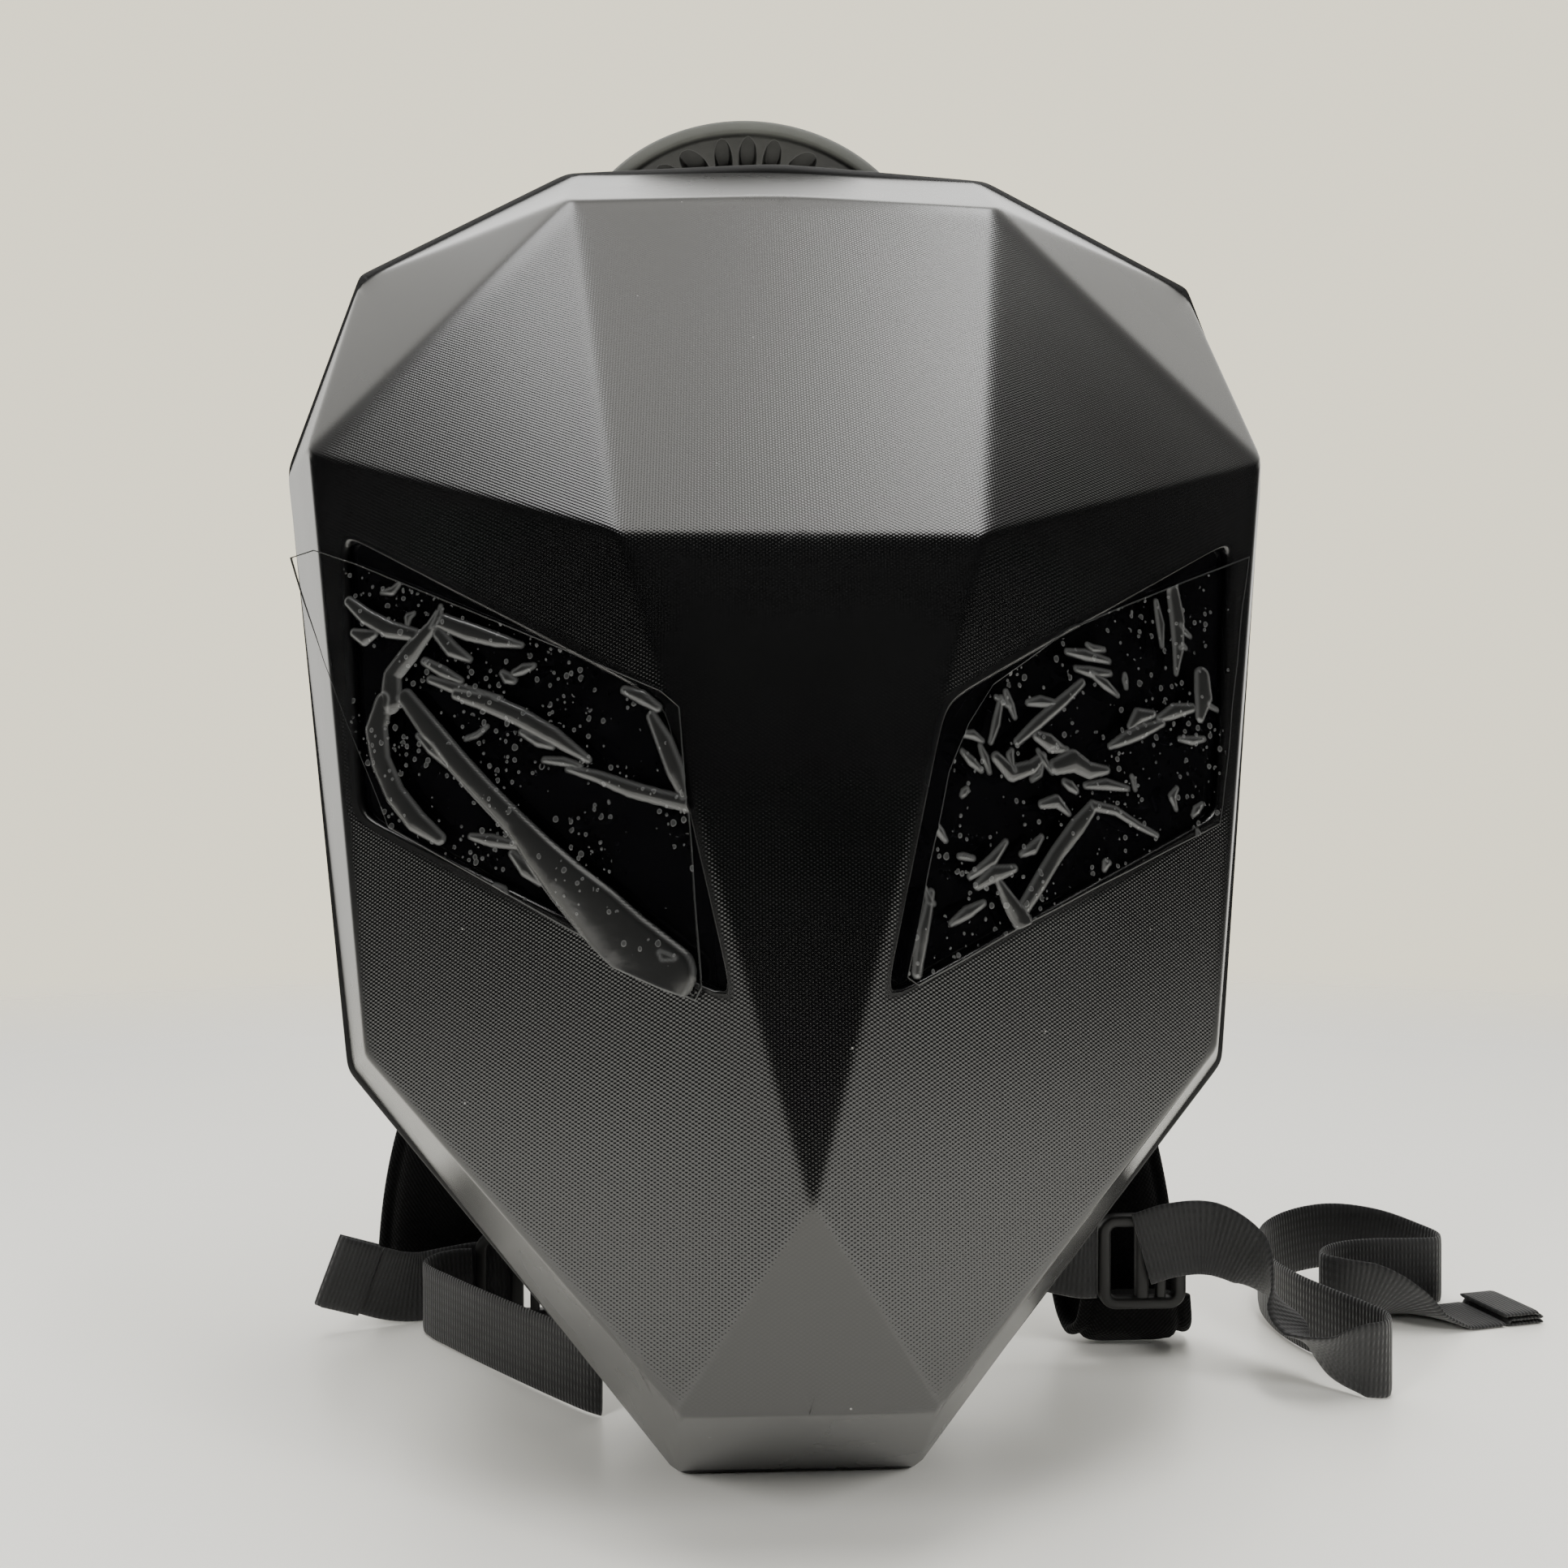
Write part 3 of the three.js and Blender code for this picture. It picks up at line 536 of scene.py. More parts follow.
# Mean plane of a facet: its normal is the sum of the corners' cross products, facing away from the middle
def facetPlane(names, side):
    corners = dict(shell["corners"])
    corners.update({f"rim{i}": (x, 0, z) for i, (x, z) in enumerate(shell["rim"])})
    rows = []
    for one in names:
        x, out, z = corners[one.lstrip("-")]
        rows.append((-side * x if one.startswith("-") else side * x, -out, z))
    p = np.array(rows, float)
    normal = unit(np.cross(p, np.roll(p, -1, axis=0)).sum(0))
    centre = p.mean(0)
    if normal @ (centre - shell["within"]) < 0:
        normal = -normal
    return np.append(normal, normal @ centre)


facetNames, facetPlanes = [], []
for name, names in shell["single"].items():
    facetNames.append(name)
    facetPlanes.append(facetPlane(names, 1))
for name, names in shell["pairs"].items():
    facetNames += [name, name]
    facetPlanes += [facetPlane(names, 1), facetPlane(names, -1)]
facetPlanes = np.array(facetPlanes)
cheekPlane = facetPlanes[facetNames.index("cheek")]


# Soft maximum over the facets' planes, ln(sum exp(k (n.p - d))) / k, and each plane's share in it
def softPlanes(points, inset=0.0, sharp=shell["creaseSharp"]):
    gone = points @ facetPlanes[:, :3].T - (facetPlanes[:, 3] - inset)
    most = gone.max(-1, keepdims=True)
    weight = np.exp(sharp * (gone - most))
    total = weight.sum(-1, keepdims=True)
    return (most + np.log(total) / sharp)[..., 0], weight / total


# How far the shell stands out at (x, z): the hard minimum of the planes, brought in by Newton steps
def shellOut(x, z, inset=0.0):
    n = facetPlanes
    out = ((n[:, 3] - inset - x[..., None] * n[:, 0] - z[..., None] * n[:, 2]) / -n[:, 1]).min(-1)
    for _ in range(shell["newtons"]):
        value, share = softPlanes(np.stack([x, -out, z], -1), inset)
        out = out - value / -(share @ n[:, 1])
    return out


# Half planes round a polygon seen from the front, as rows of (nx, nz, d)
def edgeLines(corners):
    p = np.array(corners, float)
    q = np.roll(p, -1, axis=0)
    n = unit(np.stack([q[:, 1] - p[:, 1], p[:, 0] - q[:, 0]], -1))
    d = (n * p).sum(1)
    flip = np.sign(d - n @ p.mean(0))[:, None]
    return np.concatenate([n * flip, d[:, None] * flip], 1)


# Reach t where ln(sum exp(k (slope t - room))) = 0: the hard reach, brought in by Newton steps
def softRoot(slope, room, sharp):
    reach = np.where(slope > 1e-9, room / np.maximum(slope, 1e-9), 1e9).min(-1)
    for _ in range(shell["newtons"]):
        gone = slope * reach[..., None] - room
        most = gone.max(-1, keepdims=True)
        weight = np.exp(sharp * (gone - most))
        total = weight.sum(-1)
        value = most[..., 0] + np.log(total) / sharp
        reach = reach - value * total / (weight * slope).sum(-1)
    return reach


# Reach of a ray from a centre to a soft polygon
def softReach(centre, ray, lines, sharp, inset=0.0):
    return softRoot(ray @ lines[:, :2].T, lines[:, 2] - inset - centre @ lines[:, :2].T, sharp)


# Reach of a ray to the shell's back edge, where the surface stands `edge` out, found by halving
def edgeReach(centre, ray, inset=0.0):
    low, high = np.zeros(len(ray)), np.full(len(ray), shell["farthest"])
    for _ in range(shell["halvings"]):
        middle = (low + high) / 2
        point = atDepth(centre + ray * middle[:, None], -shell["edge"])
        inside = softPlanes(point, inset)[0] < 0
        low, high = np.where(inside, middle, low), np.where(inside, high, middle)
    return low


# Right half of the shell on rays from the window's middle out to the back edge or the mirror plane.
# Rows run in a ring: inside from the edge to the window, round the lip, and over the outside to the edge.
def shellHalf():
    centre = np.mean(shell["window"], axis=0)
    cast = lambda angle: np.stack([np.cos(angle), np.sin(angle)], -1)
    toMirror = lambda ray: np.where(ray[:, 0] < -1e-9, centre[0] / np.maximum(-ray[:, 0], 1e-9), 1e9)
    trial = np.linspace(0, 2 * math.pi, shell["trials"])
    ray = cast(trial)
    reach = np.minimum(edgeReach(centre, ray), toMirror(ray))
    ends = centre + ray * reach[:, None]
    around = lengthAlong(atDepth(ends, shellOut(ends[:, 0], ends[:, 1])))
    pace = shell["pace"] * around / around[-1] + (1 - shell["pace"]) * trial / trial[-1]
    angle = np.interp(np.arange(shell["rays"]) / shell["rays"], pace, trial)
    midHeight = shell["midHeight"]
    onMiddle = np.array([0.0, midHeight])
    tall, inTall = (
        [edgeReach(onMiddle, np.array([[0.0, s]]), inset)[0] * s + midHeight for s in (1, -1)]
        for inset in (0.0, shell["wall"])
    )
    creases = [(0, shell["corners"][name][2]) for name in ("nose", "brow", "midCrown", "chin")]
    keys = [(0, tall[0]), (0, tall[1]), *creases, *shell["rim"][:5], *shell["window"]]
    for x, z in keys:
        key = math.atan2(z - centre[1], x - centre[0]) % (2 * math.pi)
        angle[np.abs(angle - key).argmin()] = key
    angle.sort()
    ray = cast(angle)
    mirror = toMirror(ray)
    reach = edgeReach(centre, ray)
    onMirror = mirror <= reach * (1 + 1e-4)
    outer = centre + ray * np.minimum(reach, mirror)[:, None]
    outer[onMirror, 0] = 0
    share = (outer[:, 1] - tall[1]) / (tall[0] - tall[1])
    inner = centre + ray * np.minimum(edgeReach(centre, ray, shell["wall"]), mirror)[:, None]
    inner[onMirror] = np.stack([0 * share, inTall[1] + share * (inTall[0] - inTall[1])], -1)[onMirror]
    hole = softReach(centre, ray, edgeLines(shell["window"]), shell["windowSharp"])
    normal = cheekPlane[:3]
    tilt = -(ray[:, 0] * normal[0] + ray[:, 1] * normal[2]) / normal[1]
    radial = atDepth(ray, tilt)
    stretch = np.linalg.norm(radial, axis=1)
    radial /= stretch[:, None]

    # outside rows, spaced by length along the surface plus its turning, so that they gather at creases
    start = centre + ray * (hole + shell["lip"] / stretch)[:, None]
    t = np.tile(np.linspace(0, 1, shell["trail"]), (len(ray), 1))
    flat = start[:, None] + (outer - start)[:, None] * t[..., None]
    out = shellOut(flat[..., 0], flat[..., 1])
    trail = atDepth(flat, -out)
    facing = softPlanes(trail)[1] @ facetPlanes[:, :3]
    gone = lengthAlong(trail, 1) + shell["turnPull"] * lengthAlong(facing, 1)
    gone = gone / gone[:, -1:]
    number = 2.0 * np.arange(len(ray))[:, None]
    rows = np.linspace(0, 1, shell["rows"])
    t = np.interp((rows[None] + number).ravel(), (gone + number).ravel(), t.ravel()).reshape(len(ray), -1)
    flat = start[:, None] + (outer - start)[:, None] * t[..., None]
    out = shellOut(flat[..., 0], flat[..., 1])
    out[~onMirror, -1] = shell["edge"]
    outside = atDepth(flat, -out)
    normals = softPlanes(outside)[1] @ facetPlanes[:, :3]
    textured = np.array([name in shell["textured"] for name in facetNames], float)
    share = softPlanes(outside, sharp=shell["grainSharp"])[1] @ textured
    grain = smoothStep(share, *shell["grainFade"]) * smoothStep(lengthAlong(outside, 1), *shell["lipFade"])

    # lip: a quarter round between the outside and the window's wall
    rim = centre + ray * hole[:, None]
    rimPoint = atDepth(rim, -shellOut(rim[:, 0], rim[:, 1]))
    bend = np.linspace(math.pi / 2, 0, shell["lipRows"] + 1)[:-1]
    middle = rimPoint + shell["lip"] * (radial - normal)
    lip = middle[:, None] + shell["lip"] * (
        np.cos(bend)[None, :, None] * normal - np.sin(bend)[None, :, None] * radial[:, None]
    )
    floorPoint = rimPoint - shell["wall"] * normal

    # inside rows, one wall's thickness under the outside
    t = np.linspace(1, 0, shell["insideRows"])[None, :, None]
    flat = floorPoint[:, None, ::2] + (inner - floorPoint[:, ::2])[:, None] * t
    out = shellOut(flat[..., 0], flat[..., 1], shell["wall"])
    out[~onMirror, 0] = shell["edge"]
    inside = atDepth(flat, -out)
    inside[:, -1] = floorPoint

    points = np.concatenate([inside, lip, outside], 1)
    before = inside.shape[1] + lip.shape[1]
    allNormals = np.pad(normals, ((0, 0), (before, 0), (0, 0)))
    allGrain = np.pad(grain, ((0, 0), (before, 0)))
    rays, cols = points.shape[:2]
    faces = gridQuads(rays, cols, True, True)
    middleSeam = onMirror & np.roll(onMirror, -1)
    closing = np.tile(np.arange(cols) == cols - 1, rays)
    faces = faces[~(closing & np.repeat(middleSeam, cols))]
    return points.reshape(-1, 3), faces, allNormals.reshape(-1, 3), allGrain.ravel()


# Both halves: the right one mirrored in x, sharing the points that lie on the mirror plane
def makeShell():
    points, faces, normals, grain = shellHalf()
    own = points[:, 0] > 1e-6
    index = np.where(own, len(points) + np.cumsum(own) - 1, np.arange(len(points)))
    flip = np.array([-1.0, 1, 1])
    points = np.concatenate([points, points[own] * flip])
    normals = np.concatenate([normals, normals[own] * flip])
    grain = np.concatenate([grain, grain[own]])
    faces = np.concatenate([faces, index[faces][:, ::-1]])
    marks = {"grain": grain}
    piece = makePiece("shellFront", bagToScene(points), faces, shellFinish, ["shell"], marks)
    turned = bagToScene(normals) - bagToScene(np.zeros(3))
    piece.data.normals_split_custom_set_from_vertices((turned / mm).tolist())


makeShell()
for name in ("screen_left", "screen_right"):
    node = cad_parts[name]
    node.data.materials.clear()
    node.data.materials.append(screenFinish)
print("shell and screens done")

# Films: outlines as four sides seen from the front (x, z), and folds as runs of (x, z, half width)
films = {
    "left": {
        "top": [
            (-147.4, 257.6), (-139.5, 258), (-126.5, 251.3), (-91.3, 230.6), (-60, 212), (-36.6, 197.7),
        ],
        "bottom": [(-135.7, 225.4), (-113.8, 175), (-56.2, 138.3), (-48.2, 130.3), (-27.5, 120)],
        "start": [(-147.4, 257.6), (-141, 240), (-135.7, 225.4)],
        "end": [(-36.6, 197.7), (-31.7, 192.7), (-29.5, 169.2), (-25.8, 123.2), (-27.5, 120)],
        "seed": 5, "wrinkles": 16, "folds": [
            [(-109.3, 210, 2), (-101.9, 200.1, 2.6), (-93.4, 189.7, 2.7), (-85.2, 180.4, 2.7),
             (-76.1, 170.4, 2.9), (-69.2, 161.8, 4.2), (-61.6, 153.2, 5.4), (-53.2, 144.7, 6.4),
             (-45.9, 136.5, 7.2), (-35, 127, 7.4)],
            [(-113.9, 209.5, 3.2), (-113.5, 216.7, 2.6), (-107.7, 221.9, 2.7), (-101.4, 227.8, 1.6),
             (-99.9, 231.1, 0.7)],
            [(-116, 209.9, 2.7), (-118.1, 203, 3.2), (-116.7, 193.7, 2.7), (-112.2, 183.9, 2.7),
             (-105.6, 175.7, 2.6), (-98.2, 169.7, 1.4)],
            [(-127.8, 240.6, 1.1), (-122.1, 235.1, 1.8), (-114.3, 229.7, 2), (-106.7, 226.7, 1.4)],
            [(-98.3, 228.5, 1.8), (-90, 223.9, 2), (-81.8, 220, 1.5), (-74.9, 217.2, 0.4)],
            [(-99.3, 225.5, 1.3), (-95, 220.1, 1.6), (-89.8, 216.4, 0.5)],
            [(-103.4, 218.7, 0.7), (-98.1, 215, 1.1), (-92.3, 211.1, 0.5)],
            [(-101.7, 213.4, 0.7), (-91.7, 208.4, 1.3), (-80.6, 204, 0.5)],
            [(-93.8, 207.9, 1.1), (-84.6, 203.9, 2), (-75.6, 198.7, 2), (-65.8, 191.8, 1.8),
             (-55.9, 183.7, 0.5)],
            [(-74.5, 194.2, 0.5), (-69.6, 190.7, 0.9), (-65.8, 188.8, 0.4)],
            [(-68.1, 185.8, 0.5), (-62.9, 184.5, 0.8), (-58.2, 182.4, 0.4)],
            [(-61.5, 182.4, 0.5), (-53.5, 179.1, 1.1), (-44.4, 174.3, 1.6), (-36.4, 171, 1.5),
             (-29.5, 168.3, 1.6)],
            [(-39.2, 191.9, 0.9), (-35.6, 184.7, 1.8), (-32.5, 176.8, 2), (-30.3, 170.8, 1.1)],
            [(-89, 169, 0.5), (-83, 167.1, 1.3), (-76, 164.8, 0.7)],
            [(-77, 162.8, 0.7), (-73, 158, 1.5), (-69.1, 154.1, 0.5)],
            [(-76.7, 210.2, 0.7), (-74.3, 210.7, 1.2), (-71.4, 211, 0.5)],
            [(-80.2, 210.9, 0.5), (-78.5, 209.1, 1.1), (-76.7, 208, 0.5)],
            [(-105.1, 198.8, 0.5), (-100.8, 194.5, 1.3), (-96, 189.2, 0.5)],
            [(-46.4, 199.9, 0.7), (-41.9, 197.3, 1.3), (-37.5, 193.6, 0.7)],
            [(-125.9, 231.3, 0.9), (-122, 229.1, 2), (-119.2, 229.4, 0.9)],
        ],
    },
    "right": {
        "top": [(49.5, 202.3), (73.3, 222.2), (109.3, 242.6), (136, 257.2)],
        "bottom": [(27.1, 123.3), (58, 141.5), (122.8, 177)],
        "start": [(49.5, 202.3), (41.6, 190.5), (36, 177.3), (23.9, 125), (27.1, 123.3)],
        "end": [(136, 257.2), (131, 227.9), (124.3, 182.9), (122.8, 177)],
        "seed": 8, "wrinkles": 40, "folds": [
            [(107.4, 242.4, 1.8), (109.3, 233.1, 2.3), (109.6, 224.4, 1.6), (108.5, 217.1, 0.4)],
            [(102.2, 235.9, 0.5), (103.6, 230.1, 1.1), (104, 224, 0.4)],
            [(72.4, 215.6, 0.5), (78.1, 216, 1.2), (85.8, 215.9, 0.5)],
            [(75.2, 211.6, 0.5), (79.9, 211.7, 1.2), (86.2, 212.6, 0.5)],
            [(79.9, 211.3, 0.5), (84.7, 209.3, 1.2), (88.6, 207.1, 0.4)],
            [(60.1, 199.5, 0.5), (63.8, 200.6, 1.2), (68.4, 201, 0.5)],
            [(56.4, 188.5, 0.7), (62.8, 194.6, 1.2), (70.3, 201.8, 1.2), (77, 208.2, 0.7)],
            [(62.8, 191.3, 1.2), (66.4, 190.3, 2), (70.1, 189.3, 0.9)],
            [(50.1, 183.4, 1.2), (54.5, 180.1, 1.8), (60.8, 182.8, 1.4), (64.5, 186.3, 0.7)],
            [(68.2, 184.1, 1.8), (73.8, 186.7, 2.7), (78.6, 185, 2), (84.3, 185.9, 0.7)],
            [(77.5, 180.6, 0.5), (84.3, 182.1, 1.2), (91.1, 182, 0.4)],
            [(63.5, 173.4, 0.7), (68.1, 175, 1.4), (71.8, 172.3, 0.4)],
            [(70.9, 180.4, 0.7), (72.6, 179.7, 1.2), (74.2, 178.8, 0.7)],
            [(56.8, 145, 1.4), (62.3, 153, 1.8), (67.9, 161, 1.8), (74.5, 169.4, 2), (79.8, 175.6, 1.2)],
            [(79.8, 175.6, 1.1), (87.1, 175.4, 0.9), (94.9, 172.4, 0.7), (100.9, 170.7, 0.4)],
            [(56.8, 142.6, 2.7), (53.3, 147, 1.8), (49.8, 152.2, 0.5)],
            [(44.1, 149.9, 0.7), (48.9, 153.6, 1.8), (54.7, 155.6, 0.7)],
            [(36.4, 139.5, 0.4), (41.1, 142.8, 1.2), (45.8, 145.7, 0.5)],
            [(85.4, 192.5, 0.5), (90.4, 195.5, 1.4), (96.4, 198.7, 1.6), (103.5, 202.2, 0.7)],
            [(92.4, 199.2, 0.7), (95.5, 202.8, 1.8), (100.5, 204.2, 0.7)],
            [(102.5, 203.3, 0.7), (107.7, 206.4, 1.8), (114, 208.5, 0.9)],
            [(109.6, 198.9, 0.4), (113.8, 199.2, 0.9), (118, 200.4, 0.4)],
            [(117.9, 218.1, 2.5), (118.1, 212.8, 3), (116.6, 206.3, 1.2)],
            [(52, 199.1, 0.5), (50.2, 192.3, 0.9), (48.4, 187.1, 0.4)],
            [(53.4, 201, 0.5), (54.7, 198, 0.9), (56, 195, 0.4)],
            [(42, 151.9, 0.4), (48.1, 156.7, 1.1), (52.5, 162.1, 0.4)],
            [(57, 159.5, 0.4), (60.6, 161.6, 1.2), (63.4, 164.9, 0.4)],
            [(26.7, 126.2, 0.9), (28.4, 137.1, 1.4), (31, 146.6, 0.7)],
        ],
    },
}
filmLook = {
    "off": 0.82, "thick": 0.12, "rows": 160, "cols": 296, "steep": 0.5, "tallest": 2.6,
    "curl": 0.5, "curlReach": 3.0, "edgeHighlight": 0.7, "edgeWide": 0.8, "ripple": 0.18,
    "rimAt": 0.95, "rimWide": 0.4,
    "slant": (0.87, 0.5), "spare": 1.05, "wrinkleHalf": (1.2, 3.5),
    "wrinkleWide": (0.5, 1.0), "wrinkleEnd": 0.35, "wrinkleBow": 0.6,
}


# A polyline taken again at even steps of its own length
def evenLine(rows, count):
    p = np.array(rows, float)
    s = lengthAlong(p)
    at = np.linspace(0, s[-1], count)
    return np.stack([np.interp(at, s, p[:, k]) for k in range(2)], -1)


# A patch between four sides: the two ruled surfaces less the bilinear one of the corners
def sidesPatch(top, bottom, start, end):
    u = np.linspace(0, 1, len(top))[None, :, None]
    v = np.linspace(0, 1, len(start))[:, None, None]
    ruled = (1 - v) * top[None] + v * bottom[None] + (1 - u) * start[:, None] + u * end[:, None]
    high = (1 - u) * (1 - v) * top[0] + u * (1 - v) * top[-1]
    return ruled - (high + (1 - u) * v * bottom[0] + u * v * bottom[-1])


# Distance from a run of points as a share of its half width there, and that half width
def foldShare(spot, rows):
    p, wides = rows[:, :2], rows[:, 2]
    a, b = p[:-1], p[1:]
    share = np.clip(np.einsum("nsk,sk->ns", spot[:, None] - a, b - a) / ((b - a) ** 2).sum(1), 0, 1)
    far = np.linalg.norm(spot[:, None] - a - (b - a) * share[..., None], axis=-1)
    best = far.argmin(1)
    row = np.arange(len(spot))
    wide = np.interp(best + share[row, best], np.arange(len(p)), wides)
    return far[row, best] / wide, wide


# A film: its patch laid on the cheek; a fold stands steep w (1 - d^2)^(1/2) up at share d of its half width w
def makeFilm(side):
    look = films[side]
    rng = np.random.default_rng(look["seed"])
    rows, cols = filmLook["rows"], filmLook["cols"]
    flat = sidesPatch(
        evenLine(look["top"], cols), evenLine(look["bottom"], cols),
        evenLine(look["start"], rows), evenLine(look["end"], rows),
    )
    spot = flat.reshape(-1, 2)
    low, high = spot.min(0), spot.max(0)
    folds = [np.array(run, float) for run in look["folds"]]
    for _ in range(look["wrinkles"]):
        p = rng.uniform(low, high)
        way = rng.uniform(0, math.pi)
        half = rng.uniform(*filmLook["wrinkleHalf"]) * np.array([math.cos(way), math.sin(way)])
        run = [p - half, p + rng.normal(0, filmLook["wrinkleBow"], 2), p + half]
        wides = [filmLook["wrinkleEnd"], rng.uniform(*filmLook["wrinkleWide"]), filmLook["wrinkleEnd"]]
        folds.append(np.column_stack([run, wides]))
    lift, body, paintedRimHighlight = np.zeros((3, len(spot)))
    for fold in folds:
        share, wide = foldShare(spot, fold)
        tall = np.minimum(filmLook["steep"] * wide, filmLook["tallest"])
        lift = np.maximum(lift, tall * np.sqrt(np.clip(1 - share**2, 0, 1)))
        body = np.maximum(body, smoothStep(1.05 - share, 0, 0.35))
        # a bright line along each fold's rim: painted highlight
        ridge = np.exp(-(((share - filmLook["rimAt"]) * wide / filmLook["rimWide"]) ** 2))
        paintedRimHighlight = np.maximum(paintedRimHighlight * smoothStep(share, 0.5, 0.8), ridge)
    i, j = np.indices((rows, cols))
    edge = np.minimum.reduce([i, j, rows - 1 - i, cols - 1 - j]).ravel()
    window = edgeLines(np.array(shell["window"]) * (1 if side == "right" else -1, 1))
    stuck = 1 - smoothStep((spot @ window[:, :2].T - window[:, 2]).max(1), -0.6, 1.2)
    curl = filmLook["curl"] * np.exp(-edge / filmLook["curlReach"])
    # a bright line along the film's cut edge: painted highlight
    paintedRimHighlight = np.maximum(paintedRimHighlight, filmLook["edgeHighlight"] * np.exp(-((edge / filmLook["edgeWide"]) ** 2)))
    waves = np.sin(spot[:, 0] / 9 + 1.3) * np.sin(spot[:, 1] / 11) + np.sin(spot @ (0.13, 0.21))
    plane = facetPlanes[facetNames.index("cheek") + (side == "left")]
    base = atDepth(spot, (plane[3] - spot[:, 0] * plane[0] - spot[:, 1] * plane[2]) / plane[1])
    points = base + plane[:3] * (filmLook["off"] + lift + curl + filmLook["ripple"] * waves)[:, None]
    faces = gridQuads(rows, cols)
    if side == "left":
        faces = faces[:, ::-1]
    piece = makePiece(
        "film" + side.title(), bagToScene(points), faces, filmFinish, ["film_" + side],
        {"lift": body, "rim": paintedRimHighlight, "stuck": stuck}, closed=False,
    )
    solid = piece.modifiers.new("thickness", "SOLIDIFY")
    solid.thickness, solid.offset = filmLook["thick"] * mm, 0
    grid = base.reshape(rows, cols, 3)
    a, b = np.diff(grid, axis=0)[:, :-1], np.diff(grid, axis=1)[:-1]
    area = np.linalg.norm(np.cross(a, b), axis=-1).sum() * mm * mm
    run, rise = filmLook["slant"] * np.array([1, 1 if side == "right" else -1])
    across = np.ptp(np.stack([spot @ (run, rise), spot @ (-rise, run)]), axis=1)
    wide, long = sorted(across * mm * filmLook["spare"])
    flatSize, area = (round(wide, 3), round(long, 3)), round(area, 5)
    print("film", side, "flat", *flatSize, "area", area)


makeFilm("left")
makeFilm("right")


# The zip line's middle, seen from the front, and how far pieces keep off the floor
zipLine = {"middle": (0.0, 220.0), "offFloor": 0.3}


# A rounded loop seen from the front at some inset from the zip line; the floor cuts its underside off flat
def rimLoop(angle, inset, depth, sharp):
    centre = np.array(zipLine["middle"])
    ray = np.stack([np.sin(angle), np.cos(angle)], -1)
    half = np.array(shell["rim"], float)
    lines = edgeLines(np.concatenate([half, half[-2::-1] * (-1, 1)]))
    lines = lines[lines[:, 1] > -0.99]
    inset, depth = (np.asarray(v, float)[:, None, None] for v in (inset, depth))
    room = lines[:, 2] - centre @ lines[:, :2].T - inset
    foot = centre[1] - depth * math.tan(stance["lean"])
    slope = np.concatenate([ray @ lines[:, :2].T, -ray[:, 1:]], 1)[None]
    reach = softRoot(slope, np.concatenate([room, foot - zipLine["offFloor"]], 2), sharp)
    return centre + ray[None] * reach[..., None]


# Angles round the rim that give even steps along it
def rimAngles(count, sharp):
    trial = np.linspace(0, 2 * math.pi, 4001)
    gone = lengthAlong(rimLoop(trial, [0.0], [0.0], sharp)[0])
    return np.interp(np.arange(count) / count * gone[-1], gone, trial), gone[-1]


# Scene points kept just off the floor
def aboveFloor(points):
    points[..., 2] = np.maximum(points[..., 2], stance["pointsOff"] * mm)
    return points


# Zip: two tape lips and a row of coil teeth between them, carried round the rim
zipLook = {
    "pitch": 2.4, "samples": 6, "sharp": 1.6, "bite": 0.32,
    "depth": [-2.4, -2.4, -2.15, -1.5, -1.15, -0.8, -0.3, 0.3, 0.8, 1.15, 1.5, 2.15, 2.4, 2.4],
    "proud": [-6.5, -0.5, -0.1, 0.0, -0.5, -0.35, -0.2, -0.2, -0.35, -0.5, 0.0, -0.1, -0.5, -6.5],
    "row": [0, 0, 0, 0, 0, 1, 1, -1, -1, 0, 0, 0, 0, 0],
}


# The section's points stand proud of the loop along its normal; the two teeth rows beat half a pitch apart
def makeZip():
    look = zipLook
    teeth = int(rimAngles(10, look["sharp"])[1] / look["pitch"])
    count = teeth * look["samples"]
    angle = rimAngles(count, look["sharp"])[0]
    depth, proud, row = (np.array(look[key])[:, None] for key in ("depth", "proud", "row"))
    beat = 2 * math.pi * np.arange(count) / look["samples"]
    bite = look["bite"] * np.where(row == 0, 0, np.cos(beat[None] + np.where(row > 0, 0, math.pi)))
    loop = rimLoop(angle, [0.0], [0.0], look["sharp"])[0]
    way = np.roll(loop, -1, axis=0) - np.roll(loop, 1, axis=0)
    side = unit(np.stack([-way[:, 1], way[:, 0]], -1))
    side *= np.sign(((loop - zipLine["middle"]) * side).sum(1))[:, None]
    flat = loop[None] + side[None] * (proud + bite)[..., None]
    points = aboveFloor(bagToScene(atDepth(flat, depth)))
    faces = gridQuads(len(depth), count, True, True)
    makePiece("zipCoil", points, faces, zipFinish, ["zip_band"])


makeZip()

# Back case: walls drawn in towards the back, a piped back edge and a flat back
case = {
    "depth": 44.0, "taper": 8.0, "wall": 2.4, "round": 9.0, "pipe": 1.5, "puff": 1.3,
    "around": 420, "sharp": 0.5,
    "pipeAt": 0.75, "pipeWide": 0.3, "lining": 1.5, "mouth": 2.7,
    "seamAt": 24.0, "seamDeep": 0.8, "seamWide": 1.2, "backGap": 0.05,
}


